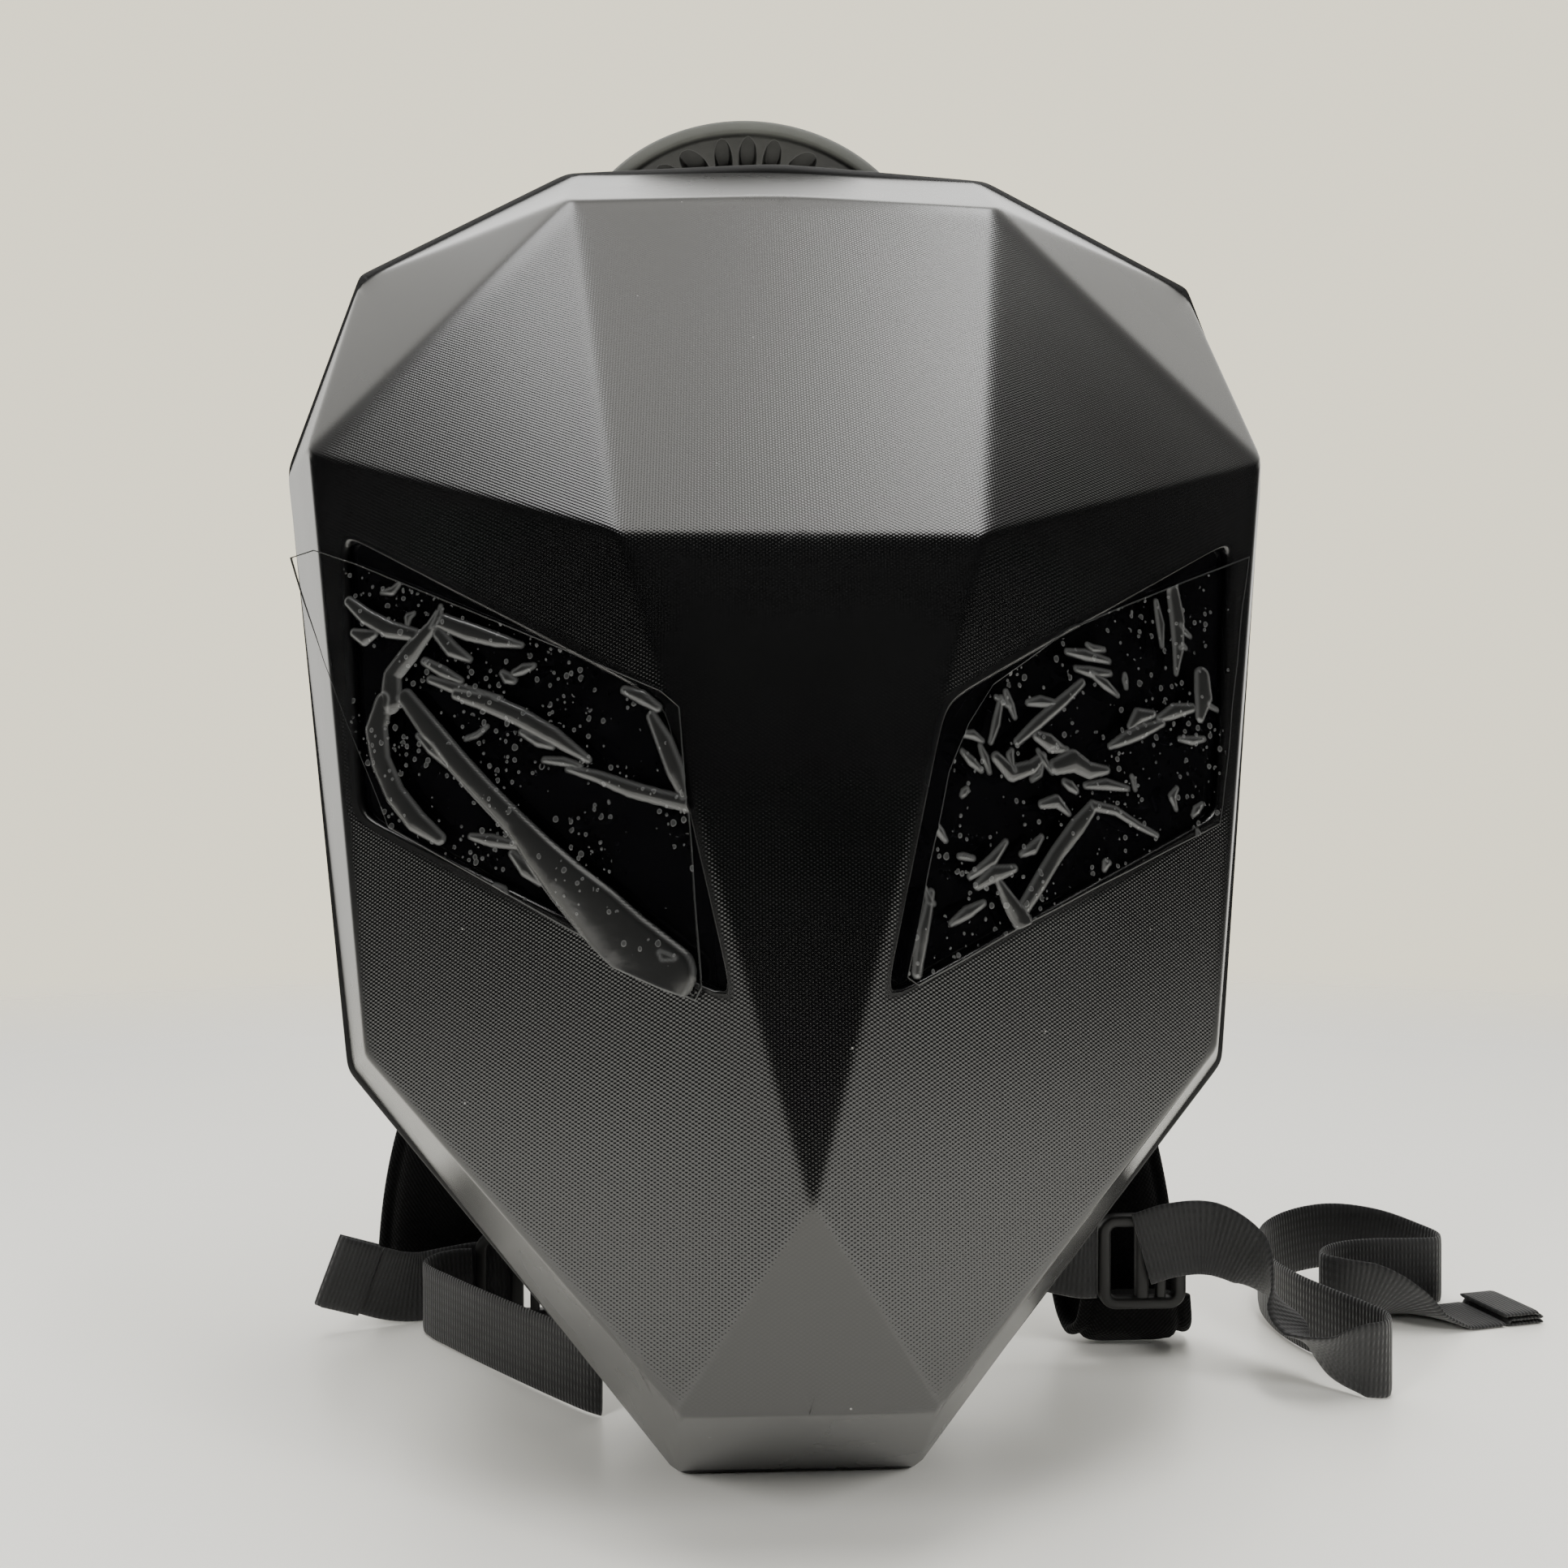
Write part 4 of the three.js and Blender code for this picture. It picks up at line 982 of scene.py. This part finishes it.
# Rows of (inset, depth, shrink) from the inner pole out over the edge and in to the outer pole
def makeCase():
    look = case
    lean = look["taper"] / look["depth"]
    mouth, gap = look["mouth"], look["backGap"]
    y = np.linspace(mouth, look["depth"] - look["round"], 16)
    belly = look["puff"] * np.sin(math.pi * (y - mouth) / (y[-1] - mouth))
    seam = look["seamDeep"] * np.exp(-((y - look["seamAt"]) / look["seamWide"]) ** 2)
    walls = np.stack([y * lean - belly + seam, y, np.ones_like(y)], -1)
    a = np.linspace(0, math.pi / 2, 12)[1:]
    pipe = look["pipe"] * np.exp(-((a - look["pipeAt"]) / look["pipeWide"]) ** 2)
    edge = np.stack([
        y[-1] * lean + look["round"] * (1 - np.cos(a)) - pipe * np.cos(a),
        y[-1] + look["round"] * np.sin(a) - gap - 0.25 * (a > 1.2), np.ones_like(a),
    ], -1)
    edge[:, 1] = np.minimum(edge[:, 1] + pipe * np.sin(a) * 0.25, look["depth"] - gap)
    shrink = np.linspace(1, 0.02, 14)[1:]
    level = lambda inset, depth, size: np.stack(np.broadcast_arrays(inset, depth, size), -1)
    back = level(edge[-1, 0], look["depth"] - gap, shrink)
    inY = np.linspace(look["depth"] - look["wall"], mouth, 8)
    inWalls = np.stack([inY * lean + look["wall"] + look["lining"], inY, np.ones_like(inY)], -1)
    inBack = level(inWalls[0, 0], inY[0], shrink[::-1])
    rows = np.concatenate([inBack, inWalls, walls, edge, back])
    angle = rimAngles(look["around"], look["sharp"])[0]
    flat = rimLoop(angle, rows[:, 0], rows[:, 1], look["sharp"])
    flat = zipLine["middle"] + (flat - zipLine["middle"]) * rows[:, 2, None, None]
    points = atDepth(flat, rows[:, 1, None])
    scene = aboveFloor(bagToScene(points))
    count = look["around"]
    faces = gridQuads(len(rows), count, wrapCols=True).tolist()
    faces += [list(range(count)), list(range((len(rows) - 1) * count, len(rows) * count))[::-1]]
    around = lengthAlong(np.concatenate([scene, scene[:, :1]], 1), 1)[:, :-1]
    onBack = np.abs(rows[:, 2] - 1) > 1e-6
    down = np.cumsum(np.insert(np.linalg.norm(np.diff(rows[:, :2], axis=0), axis=1), 0, 0)) * mm
    lay = np.stack([around, np.broadcast_to(down[:, None], around.shape), 0 * around], -1)
    lay[onBack, :, 0] = points[onBack, :, 0] * mm
    lay[onBack, :, 1] = points[onBack, :, 2] * mm
    makePiece("caseBack", scene, faces, caseFinish, ["back_case"], {"lay": lay})


makeCase()
print("zip and case done")

# Handle: part of a circle with a rounded section. Leaf-shaped pockets, each with its place along the arc,
# width, length and slant, are sunk into its underside.
handle = {
    "x": -10.0, "centre": 401.0, "radius": 66.0, "base": 424.0, "thick": 7.0, "front": 8.0, "deep": 28.0,
    "round": 2.2, "along": 420, "pocket": 4.2, "underSteps": 56, "turnSteps": 7, "topSteps": 18,
    "leaves": [
        (-31, 7, 16, 0.55), (-20.5, 8.5, 20, 0.4), (-9.2, 6.2, 23, 0.08), (0, 6.2, 24, 0),
        (9.2, 6.2, 23, -0.08), (20.5, 8.5, 20, -0.4), (31, 7, 16, -0.55),
    ],
}


# Section points (y, t) round a rectangle with quarter-round corners; t is 0 below and 1 on top
def handleSection():
    r, thick, front, deep = handle["round"], handle["thick"], handle["front"], handle["deep"]
    turn = np.linspace(0, math.pi / 2, handle["turnSteps"])
    under = np.linspace(front + deep - r, front + r, handle["underSteps"])
    under = np.stack([under, 0 * under], -1)
    frontLow = np.stack([front + r - r * np.sin(turn), r - r * np.cos(turn)], -1)[1:]
    frontHigh = np.stack([front + r - r * np.cos(turn), thick - r + r * np.sin(turn)], -1)
    crown = np.linspace(-1, 1, handle["topSteps"])[1:-1]
    top = np.stack([front + deep / 2 + crown * (deep / 2 - r), thick + 0.0 * crown], -1)
    backHigh = np.stack([front + deep - r + r * np.sin(turn), thick - r + r * np.cos(turn)], -1)
    backLow = np.stack([front + deep - r + r * np.cos(turn), r - r * np.sin(turn)], -1)[:-1]
    return np.concatenate([under, frontLow, frontHigh, top, backHigh, backLow])


# Points centre + r (cos a, sin a), with r from the section and the pockets' depth added below
def makeHandle():
    look = handle
    section = handleSection()
    inner = look["radius"] - look["thick"]
    start = math.asin((look["base"] - look["centre"]) / inner)
    angle = np.linspace(start, math.pi - start, look["along"])
    high = np.broadcast_to(section[:, 1], (len(angle), len(section))).copy()
    run = inner * (angle - math.pi / 2)[:, None]
    off = (section[:, 0] - look["front"] - look["deep"] / 2)[None]
    dent = np.zeros_like(high)
    for place, wide, long, slant in look["leaves"]:
        v = off / (long / 2)
        body = wide / 2 * np.sqrt(np.clip(1 - v**2, 0.0004, 1))
        gone = np.abs(run - place - slant * off) / body
        dent = np.maximum(dent, smoothStep(1.12 - gone, 0, 0.3) * (np.abs(v) < 1))
    high += np.where(section[:, 1] < 1e-6, dent * look["pocket"], 0)
    reach = inner + high
    y = np.broadcast_to(section[:, 0], reach.shape)
    points = np.stack([
        look["x"] + reach * np.cos(angle)[:, None], y, look["centre"] + reach * np.sin(angle)[:, None]
    ], -1)
    # the band mark is 1 above the underside; the dark colour left under it is painted shade
    bandOverShadedUnder = np.broadcast_to(smoothStep(section[:, 1], 0.3, 1.2), reach.shape)
    makePiece(
        "handleArch", bagToScene(points), tubeFaces(*reach.shape), handleFinish,
        ["top_handle"], {"bandOverShadedUnder": bandOverShadedUnder},
    )


makeHandle()

# Shoulder straps: x, y, z in the standing frame, width and thickness
straps = {
    "right": [
        (36, 167.4, 382, 58, 11), (37, 162.8, 366.7, 58, 12), (42, 161.3, 335.8, 60, 12),
        (54, 159, 286.4, 60, 12), (72, 150.4, 215.9, 58, 12), (92, 137.9, 146.5, 55, 12),
        (108, 123.6, 88.2, 51, 12), (117, 113, 45, 48, 12), (119.5, 110, 22, 46, 11),
        (120.5, 104.5, 9.5, 45, 10), (121.5, 97, 5, 44, 9), (122, 90.5, 8.5, 41, 8.5),
        (122, 87.3, 18.8, 38, 8),
    ],
    "left": [
        (-36, 167.4, 382, 58, 11), (-37, 163.5, 366.7, 58, 12), (-42, 163, 335.8, 60, 12),
        (-54, 163.5, 286, 60, 12), (-72, 163, 216, 58, 12), (-92, 161, 146, 55, 12),
        (-110, 157, 88, 51, 12), (-122, 153, 48, 48, 12), (-126, 150, 20, 46, 12),
        (-126, 146, 8, 45, 11), (-125.5, 140, 5, 42, 10), (-125, 131.6, 4.5, 36, 8),
    ],
}
strapLook = {
    "perRow": 14, "around": 72, "binding": 5.0, "bindingThick": 0.42, "bindingRound": 2.4, "bodyRound": 9.0,
    "groove": 0.8, "grooveWide": 1.2, "quilt": 0.1, "quiltPitch": 62.0, "quiltWide": 2.6, "quiltIn": 3.0,
}


# Padded strap: a flat oval section with a bound edge and sewn lines along it, crowned between cross quilting
def makeStrap(side):
    look = strapLook
    route = np.array(straps[side], float)
    line = smoothRoute(route[:, :3], look["perRow"])
    wide, thick = (spreadColumn(route[:, k], len(line)) for k in (3, 4))
    way = headings(line)
    across = unit(np.array([1.0, 0, 0]) - way * way[:, :1])
    face = np.cross(across, way)
    half = look["around"] // 2
    b, front = flatRing(half)
    inset = (1 - np.abs(b))[None] * wide[:, None] / 2
    body = np.sqrt(1 - np.clip(1 - (inset - look["binding"]) / look["bodyRound"], 0, 1) ** 2)
    edge = look["bindingThick"] * np.sqrt(1 - np.clip(1 - inset / look["bindingRound"], 0, 1) ** 2)
    tall = np.where(inset < look["binding"], edge, look["bindingThick"] * (1 - body) + body)
    sew = look["groove"] * np.exp(-(((inset - look["binding"]) / look["grooveWide"]) ** 2))
    along = lengthAlong(line)
    fromQuilt = (along % look["quiltPitch"] - look["quiltPitch"] / 2) / look["quiltWide"]
    quilt = look["quilt"] * np.exp(-(fromQuilt**2))[:, None] * (inset > look["binding"] + look["quiltIn"])
    tall = np.maximum(tall * (1 - quilt) * thick[:, None] / 2 - sew, 0.0)
    tall[:, [0, half]] = 0
    points = line[:, None] + across[:, None] * (b * wide[:, None] / 2)[..., None]
    points = points + face[:, None] * (front * tall)[..., None]
    liftClear(points)
    lay = np.stack(np.broadcast_arrays(b * wide[:, None] / 2, along[:, None], 0 * tall), -1) * mm
    piece = makePiece(
        "strap" + side.title(), standToScene(points), tubeFaces(*points.shape[:2]), strapFinish,
        ["shoulder_strap_" + side], {"lay": lay},
    )


makeStrap("right")
makeStrap("left")
print("handle and straps done")

# Adjusters: a rounded frame with a bar across the middle, upright and facing forward
lock = {
    "long": 30.0, "wide": 32.0, "thick": 5.0, "rail": 4.2, "bar": 4.6, "corner": 4.0, "square": 0.55,
    "around": 20, "turns": 9, "barRings": 15, "barIn": 2.0, "barThick": 4.0,
    "pryIn": 8.6, "pryRail": 3.4, "pryThick": 3.1, "pryLift": 0.8,
}
lockPlaces = {"right": (122, 80.5, 33), "left": (-94, 125, 17)}


# Rounded section: half sizes times cos and sin of the turn, each raised to a power that squares the circle
def lockSection(rail, thick):
    t = np.linspace(0, 2 * math.pi, lock["around"], endpoint=False)
    soft = lambda v: np.sign(v) * np.abs(v) ** lock["square"]
    return soft(np.cos(t)) * rail / 2, soft(np.sin(t)) * thick / 2


# A closed ring: the section carried round a rectangle with rounded corners
def lockRing(long, wide, corner, rail, thick):
    turns = lock["turns"]
    a = np.concatenate([np.linspace(0, math.pi / 2, turns) + k * math.pi / 2 for k in range(4)])
    sign = np.repeat([[1, 1], [-1, 1], [-1, -1], [1, -1]], turns, axis=0)
    side = np.stack([np.cos(a), np.sin(a)], -1)
    path = sign * (np.array([long, wide]) / 2 - rail / 2 - corner) + corner * side
    across, deep = lockSection(rail, thick)
    flat = path[:, None] + side[:, None] * across[None, :, None]
    return atDepth(flat, deep), gridQuads(len(path), lock["around"], True, True).tolist()


# A straight run of the section, bowed forward by lift (1 - s^2) at share s of its half length
def lockBar(x, half, rail, thick, lift=0.0):
    s = np.linspace(-1, 1, lock["barRings"])[:, None]
    across, deep = lockSection(rail, thick)
    points = np.stack(np.broadcast_arrays(x + across, deep - lift * (1 - s**2), s * half), -1)
    return points, tubeFaces(lock["barRings"], lock["around"])


# An adjuster: its ring, a middle bar and a bowed bar to pry it open
def makeLock(side):
    look = lock
    half = look["wide"] / 2 - look["barIn"]
    parts = [
        lockRing(look["long"], look["wide"], look["corner"], look["rail"], look["thick"]),
        lockBar(0, half, look["bar"], look["barThick"]),
        lockBar(look["long"] / 2 - look["pryIn"], half, look["pryRail"], look["pryThick"], look["pryLift"]),
    ]
    points, faces, count = [], [], 0
    for p, f in parts:
        points.append(p.reshape(-1, 3))
        faces += [[i + count for i in one] for one in f]
        count += len(points[-1])
    whole = np.concatenate(points) + lockPlaces[side]
    name, node = "lock" + side.title(), "ladder_lock_" + side
    makePiece(name, standToScene(whole), faces, lockFinish, [node])


makeLock("right")
makeLock("left")

# Back pad: a pillow inside the outline, swollen by a short cloth run, then sewn into panels
pad = {
    "outline": [(42, 54), (104, 126), (124, 290), (96, 350)], "middle": (0.0, 205.0), "thick": 9.0,
    "sharp": 0.11, "inset": 2.0, "off": 0.4, "low": 0.46, "swing": 0.42, "around": 220, "rings": 26,
    "voxel": 4.0, "calm": 14, "pressure": 1.2, "frames": 12, "cap": 0.9, "channel": 9.0, "channelDeep": 3.2,
    "rows": [130, 205, 280], "rowDeep": 1.6, "rowSlope": 0.12, "rowWide": 3.0, "sewnFrom": 2, "sewnFull": 6,
}


# Pillow: depth (1 - r^6)^(1/2) of the thickness at share r of the way from the middle to the outline
def makePad():
    look = pad
    half = np.array(look["outline"], float)
    lines = edgeLines(np.concatenate([half, half[::-1] * (-1, 1)]))
    angle = np.linspace(0, 2 * math.pi, look["around"], endpoint=False)
    ray = np.stack([np.sin(angle), np.cos(angle)], -1)
    middle = np.array(look["middle"])
    reach = softReach(middle, ray, lines, look["sharp"], look["inset"])
    r = np.sin(np.linspace(0.03, math.pi / 2, look["rings"]))
    front = np.concatenate([np.ones(len(r)), -np.ones(len(r) - 1)])
    r = np.concatenate([r, r[-2::-1]])
    base = case["depth"] + look["off"]
    curve = front * np.sqrt(1 - np.minimum(r, 1) ** 6)
    deep = base + look["thick"] * look["low"] + curve * look["thick"] * look["swing"]
    flat = middle + ray[None] * (reach[None] * r[:, None])[..., None]
    points = atDepth(flat, deep[:, None])
    faces = tubeFaces(*points.shape[:2])
    piece = makePiece("padBack", bagToScene(points), faces, padFinish, ["back_pad"])
    swell(piece, look)
    mesh = piece.data
    p = meshPoints(mesh) / mm
    s, c = math.sin(stance["lean"]), math.cos(stance["lean"])
    y = p[:, 1] + stance["boxMiddle"]
    local = np.stack([p[:, 0], y * c - p[:, 2] * s, y * s + p[:, 2] * c], -1)
    outer = smoothStep(local[:, 1], base + look["sewnFrom"], base + look["sewnFull"])
    groove = look["channelDeep"] * np.exp(-((local[:, 0] / look["channel"]) ** 4))
    for z in look["rows"]:
        fromRow = (local[:, 2] - z - np.abs(local[:, 0]) * look["rowSlope"]) / look["rowWide"]
        groove = np.maximum(groove, look["rowDeep"] * np.exp(-(fromRow**2)))
    local[:, 1] = np.maximum(local[:, 1] - groove * outer, base)
    mesh.vertices.foreach_set("co", bagToScene(local).ravel())
    mesh.update()
    fine = piece.modifiers.new("smooth", "SUBSURF")
    fine.levels = fine.render_levels = 1


# Remeshed and smoothed copy blown up by cloth pressure; each point's move is held to a cap
def swell(piece, look):
    remesh = piece.modifiers.new("even", "REMESH")
    remesh.mode, remesh.voxel_size = "VOXEL", look["voxel"] * mm
    remesh.use_smooth_shade = True
    calm = piece.modifiers.new("calm", "SMOOTH")
    calm.factor, calm.iterations = 0.5, look["calm"]
    graph = bpy.context.evaluated_depsgraph_get()
    even = bpy.data.meshes.new_from_object(piece.evaluated_get(graph))
    piece.modifiers.clear()
    piece.data = even
    even.name = piece.name
    start = meshPoints(even)
    cloth = piece.modifiers.new("swell", "CLOTH")
    cloth.settings.quality = 4
    cloth.settings.use_pressure = True
    cloth.settings.uniform_pressure_force = look["pressure"]
    cloth.settings.effector_weights.gravity = 0
    scene = bpy.context.scene
    for step in range(1, look["frames"] + 1):
        scene.frame_set(step)
    graph = bpy.context.evaluated_depsgraph_get()
    done = bpy.data.meshes.new_from_object(piece.evaluated_get(graph))
    move = meshPoints(done) - start
    far = np.linalg.norm(move, axis=1, keepdims=True)
    move *= np.minimum(1, look["cap"] * mm / np.maximum(far, 1e-9))
    piece.modifiers.clear()
    even.vertices.foreach_set("co", (start + move).ravel())
    even.polygons.foreach_set("use_smooth", np.ones(len(even.polygons), bool))
    even.update()
    scene.frame_set(1)
    print("swollen", piece.name, "by up to", round(float(far.max()) / mm, 1), "mm")


makePad()
print("pad and adjusters done")

# Table top: a pale disc that fades out before it could make a horizon
table = {
    "size": 3.8, "middle": -0.55, "colour": (0.9, 0.885, 0.82), "fadeFrom": 1.3, "fadeTo": 1.75,
    "rings": 12, "spokes": 64,
}


def makeTable():
    material, place = newFinish("tableTop", Roughness=0.32, Specular_IOR_Level=0.35)
    cloud = noise(place, 0.4, 3.0)
    paler = tuple(v * 1.05 for v in table["colour"])
    feed("Base Color", mixColour(cloud, table["colour"], paler))
    far = addNode("ShaderNodeVectorMath", {0: place, 1: (0, table["middle"], 0)}, operation="DISTANCE")
    far = far.outputs["Value"]
    feed("Alpha", rescale(far, table["fadeFrom"], table["fadeTo"], 1.0, 0.0))
    angle = np.linspace(0, 2 * math.pi, table["spokes"], endpoint=False)
    rings = np.linspace(0.02, 1, table["rings"])[:, None] * table["size"] / 2
    points = np.stack(
        [rings * np.cos(angle), rings * np.sin(angle) + table["middle"], 0 * rings * angle], -1
    ).reshape(-1, 3)
    mesh = bpy.data.meshes.new("tableTop")
    faces = gridQuads(table["rings"], table["spokes"], wrapCols=True).tolist()
    mesh.from_pydata(points, [], faces + [list(range(table["spokes"]))])
    mesh.materials.append(material)
    top = addObject("tableTop", mesh)
    return top


tableTop = makeTable()

# Light: a pale room behind, a bright patch straight above, dark on the camera's side, and soft panels, each
# with its place, aim, width, length and power; the table panels light only the table
light = {
    "backdrop": (1.5, 1.4, 1.1), "above": 2.3, "aboveWay": (0, -0.1, 0.995), "behind": 1.4, "front": 0.012,
    "panels": [
        ((0.3, 0.0, 1.5), (0.3, 0, 0), 0.18, 0.9, 3.6), ((-0.5, 0.05, 1.5), (-0.5, 0.05, 0), 0.3, 0.8, 3.6),
        *(((x, -0.45, 0.002), (x, -0.45, 1), 1.3, 0.6, 1.3) for x in (0.85, -0.85)),
        ((0.0, 1.25, 1.26), (0, 0, 0.4), 1.5, 0.7, 4.5),
    ],
    "tablePanels": [
        *(((x, -0.85, 0.75), (0, -0.1, 0.0), 0.4, 0.4, 9.0) for x in (0.8, -0.8)),
        ((0.0, 0.1, 2.2), (0, 0.1, 0), 2.0, 2.0, 24.0),
    ],
}


def makeLight():
    world = bpy.data.worlds.new("softRoom")
    bpy.context.scene.world = world
    world.use_nodes = True
    drawing["tree"] = world.node_tree
    world.node_tree.nodes.clear()
    way = addNode("ShaderNodeTexCoord").outputs["Generated"]
    parts = addNode("ShaderNodeSeparateXYZ", {0: way}).outputs
    depth = rescale(parts[1], 0.0, 0.75, light["front"], light["behind"])
    lean = addNode("ShaderNodeVectorMath", {0: way, 1: light["aboveWay"]}, operation="DOT_PRODUCT")
    height = rescale(lean.outputs["Value"], 0.92, 0.985)
    power = calc("MULTIPLY_ADD", height, light["above"], depth)
    room = addNode("ShaderNodeBackground", {"Color": (1.0, 0.985, 0.93, 1), "Strength": power})
    backdrop = addNode("ShaderNodeBackground", {"Color": (*light["backdrop"], 1), "Strength": 1.0})
    seen = addNode("ShaderNodeLightPath").outputs["Is Camera Ray"]
    both = addNode("ShaderNodeMixShader", {0: seen, 1: room.outputs[0], 2: backdrop.outputs[0]})
    addNode("ShaderNodeOutputWorld", {0: both.outputs[0]})
    tableOnly = bpy.data.collections.new("tableOnly")
    tableOnly.objects.link(tableTop)
    for number, (place, aim, wide, long, power) in enumerate(light["panels"] + light["tablePanels"]):
        lamp = bpy.data.lights.new(f"panel{number}", "AREA")
        lamp.shape, lamp.size, lamp.size_y, lamp.energy = "RECTANGLE", wide, long, power
        panel = addObject(lamp.name, lamp)
        panel.location = place
        panel.rotation_euler = (Vector(aim) - Vector(place)).to_track_quat("-Z", "Y").to_euler()
        panel.visible_camera = False
        if number >= len(light["panels"]):
            panel.light_linking.receiver_collection = tableOnly


makeLight()
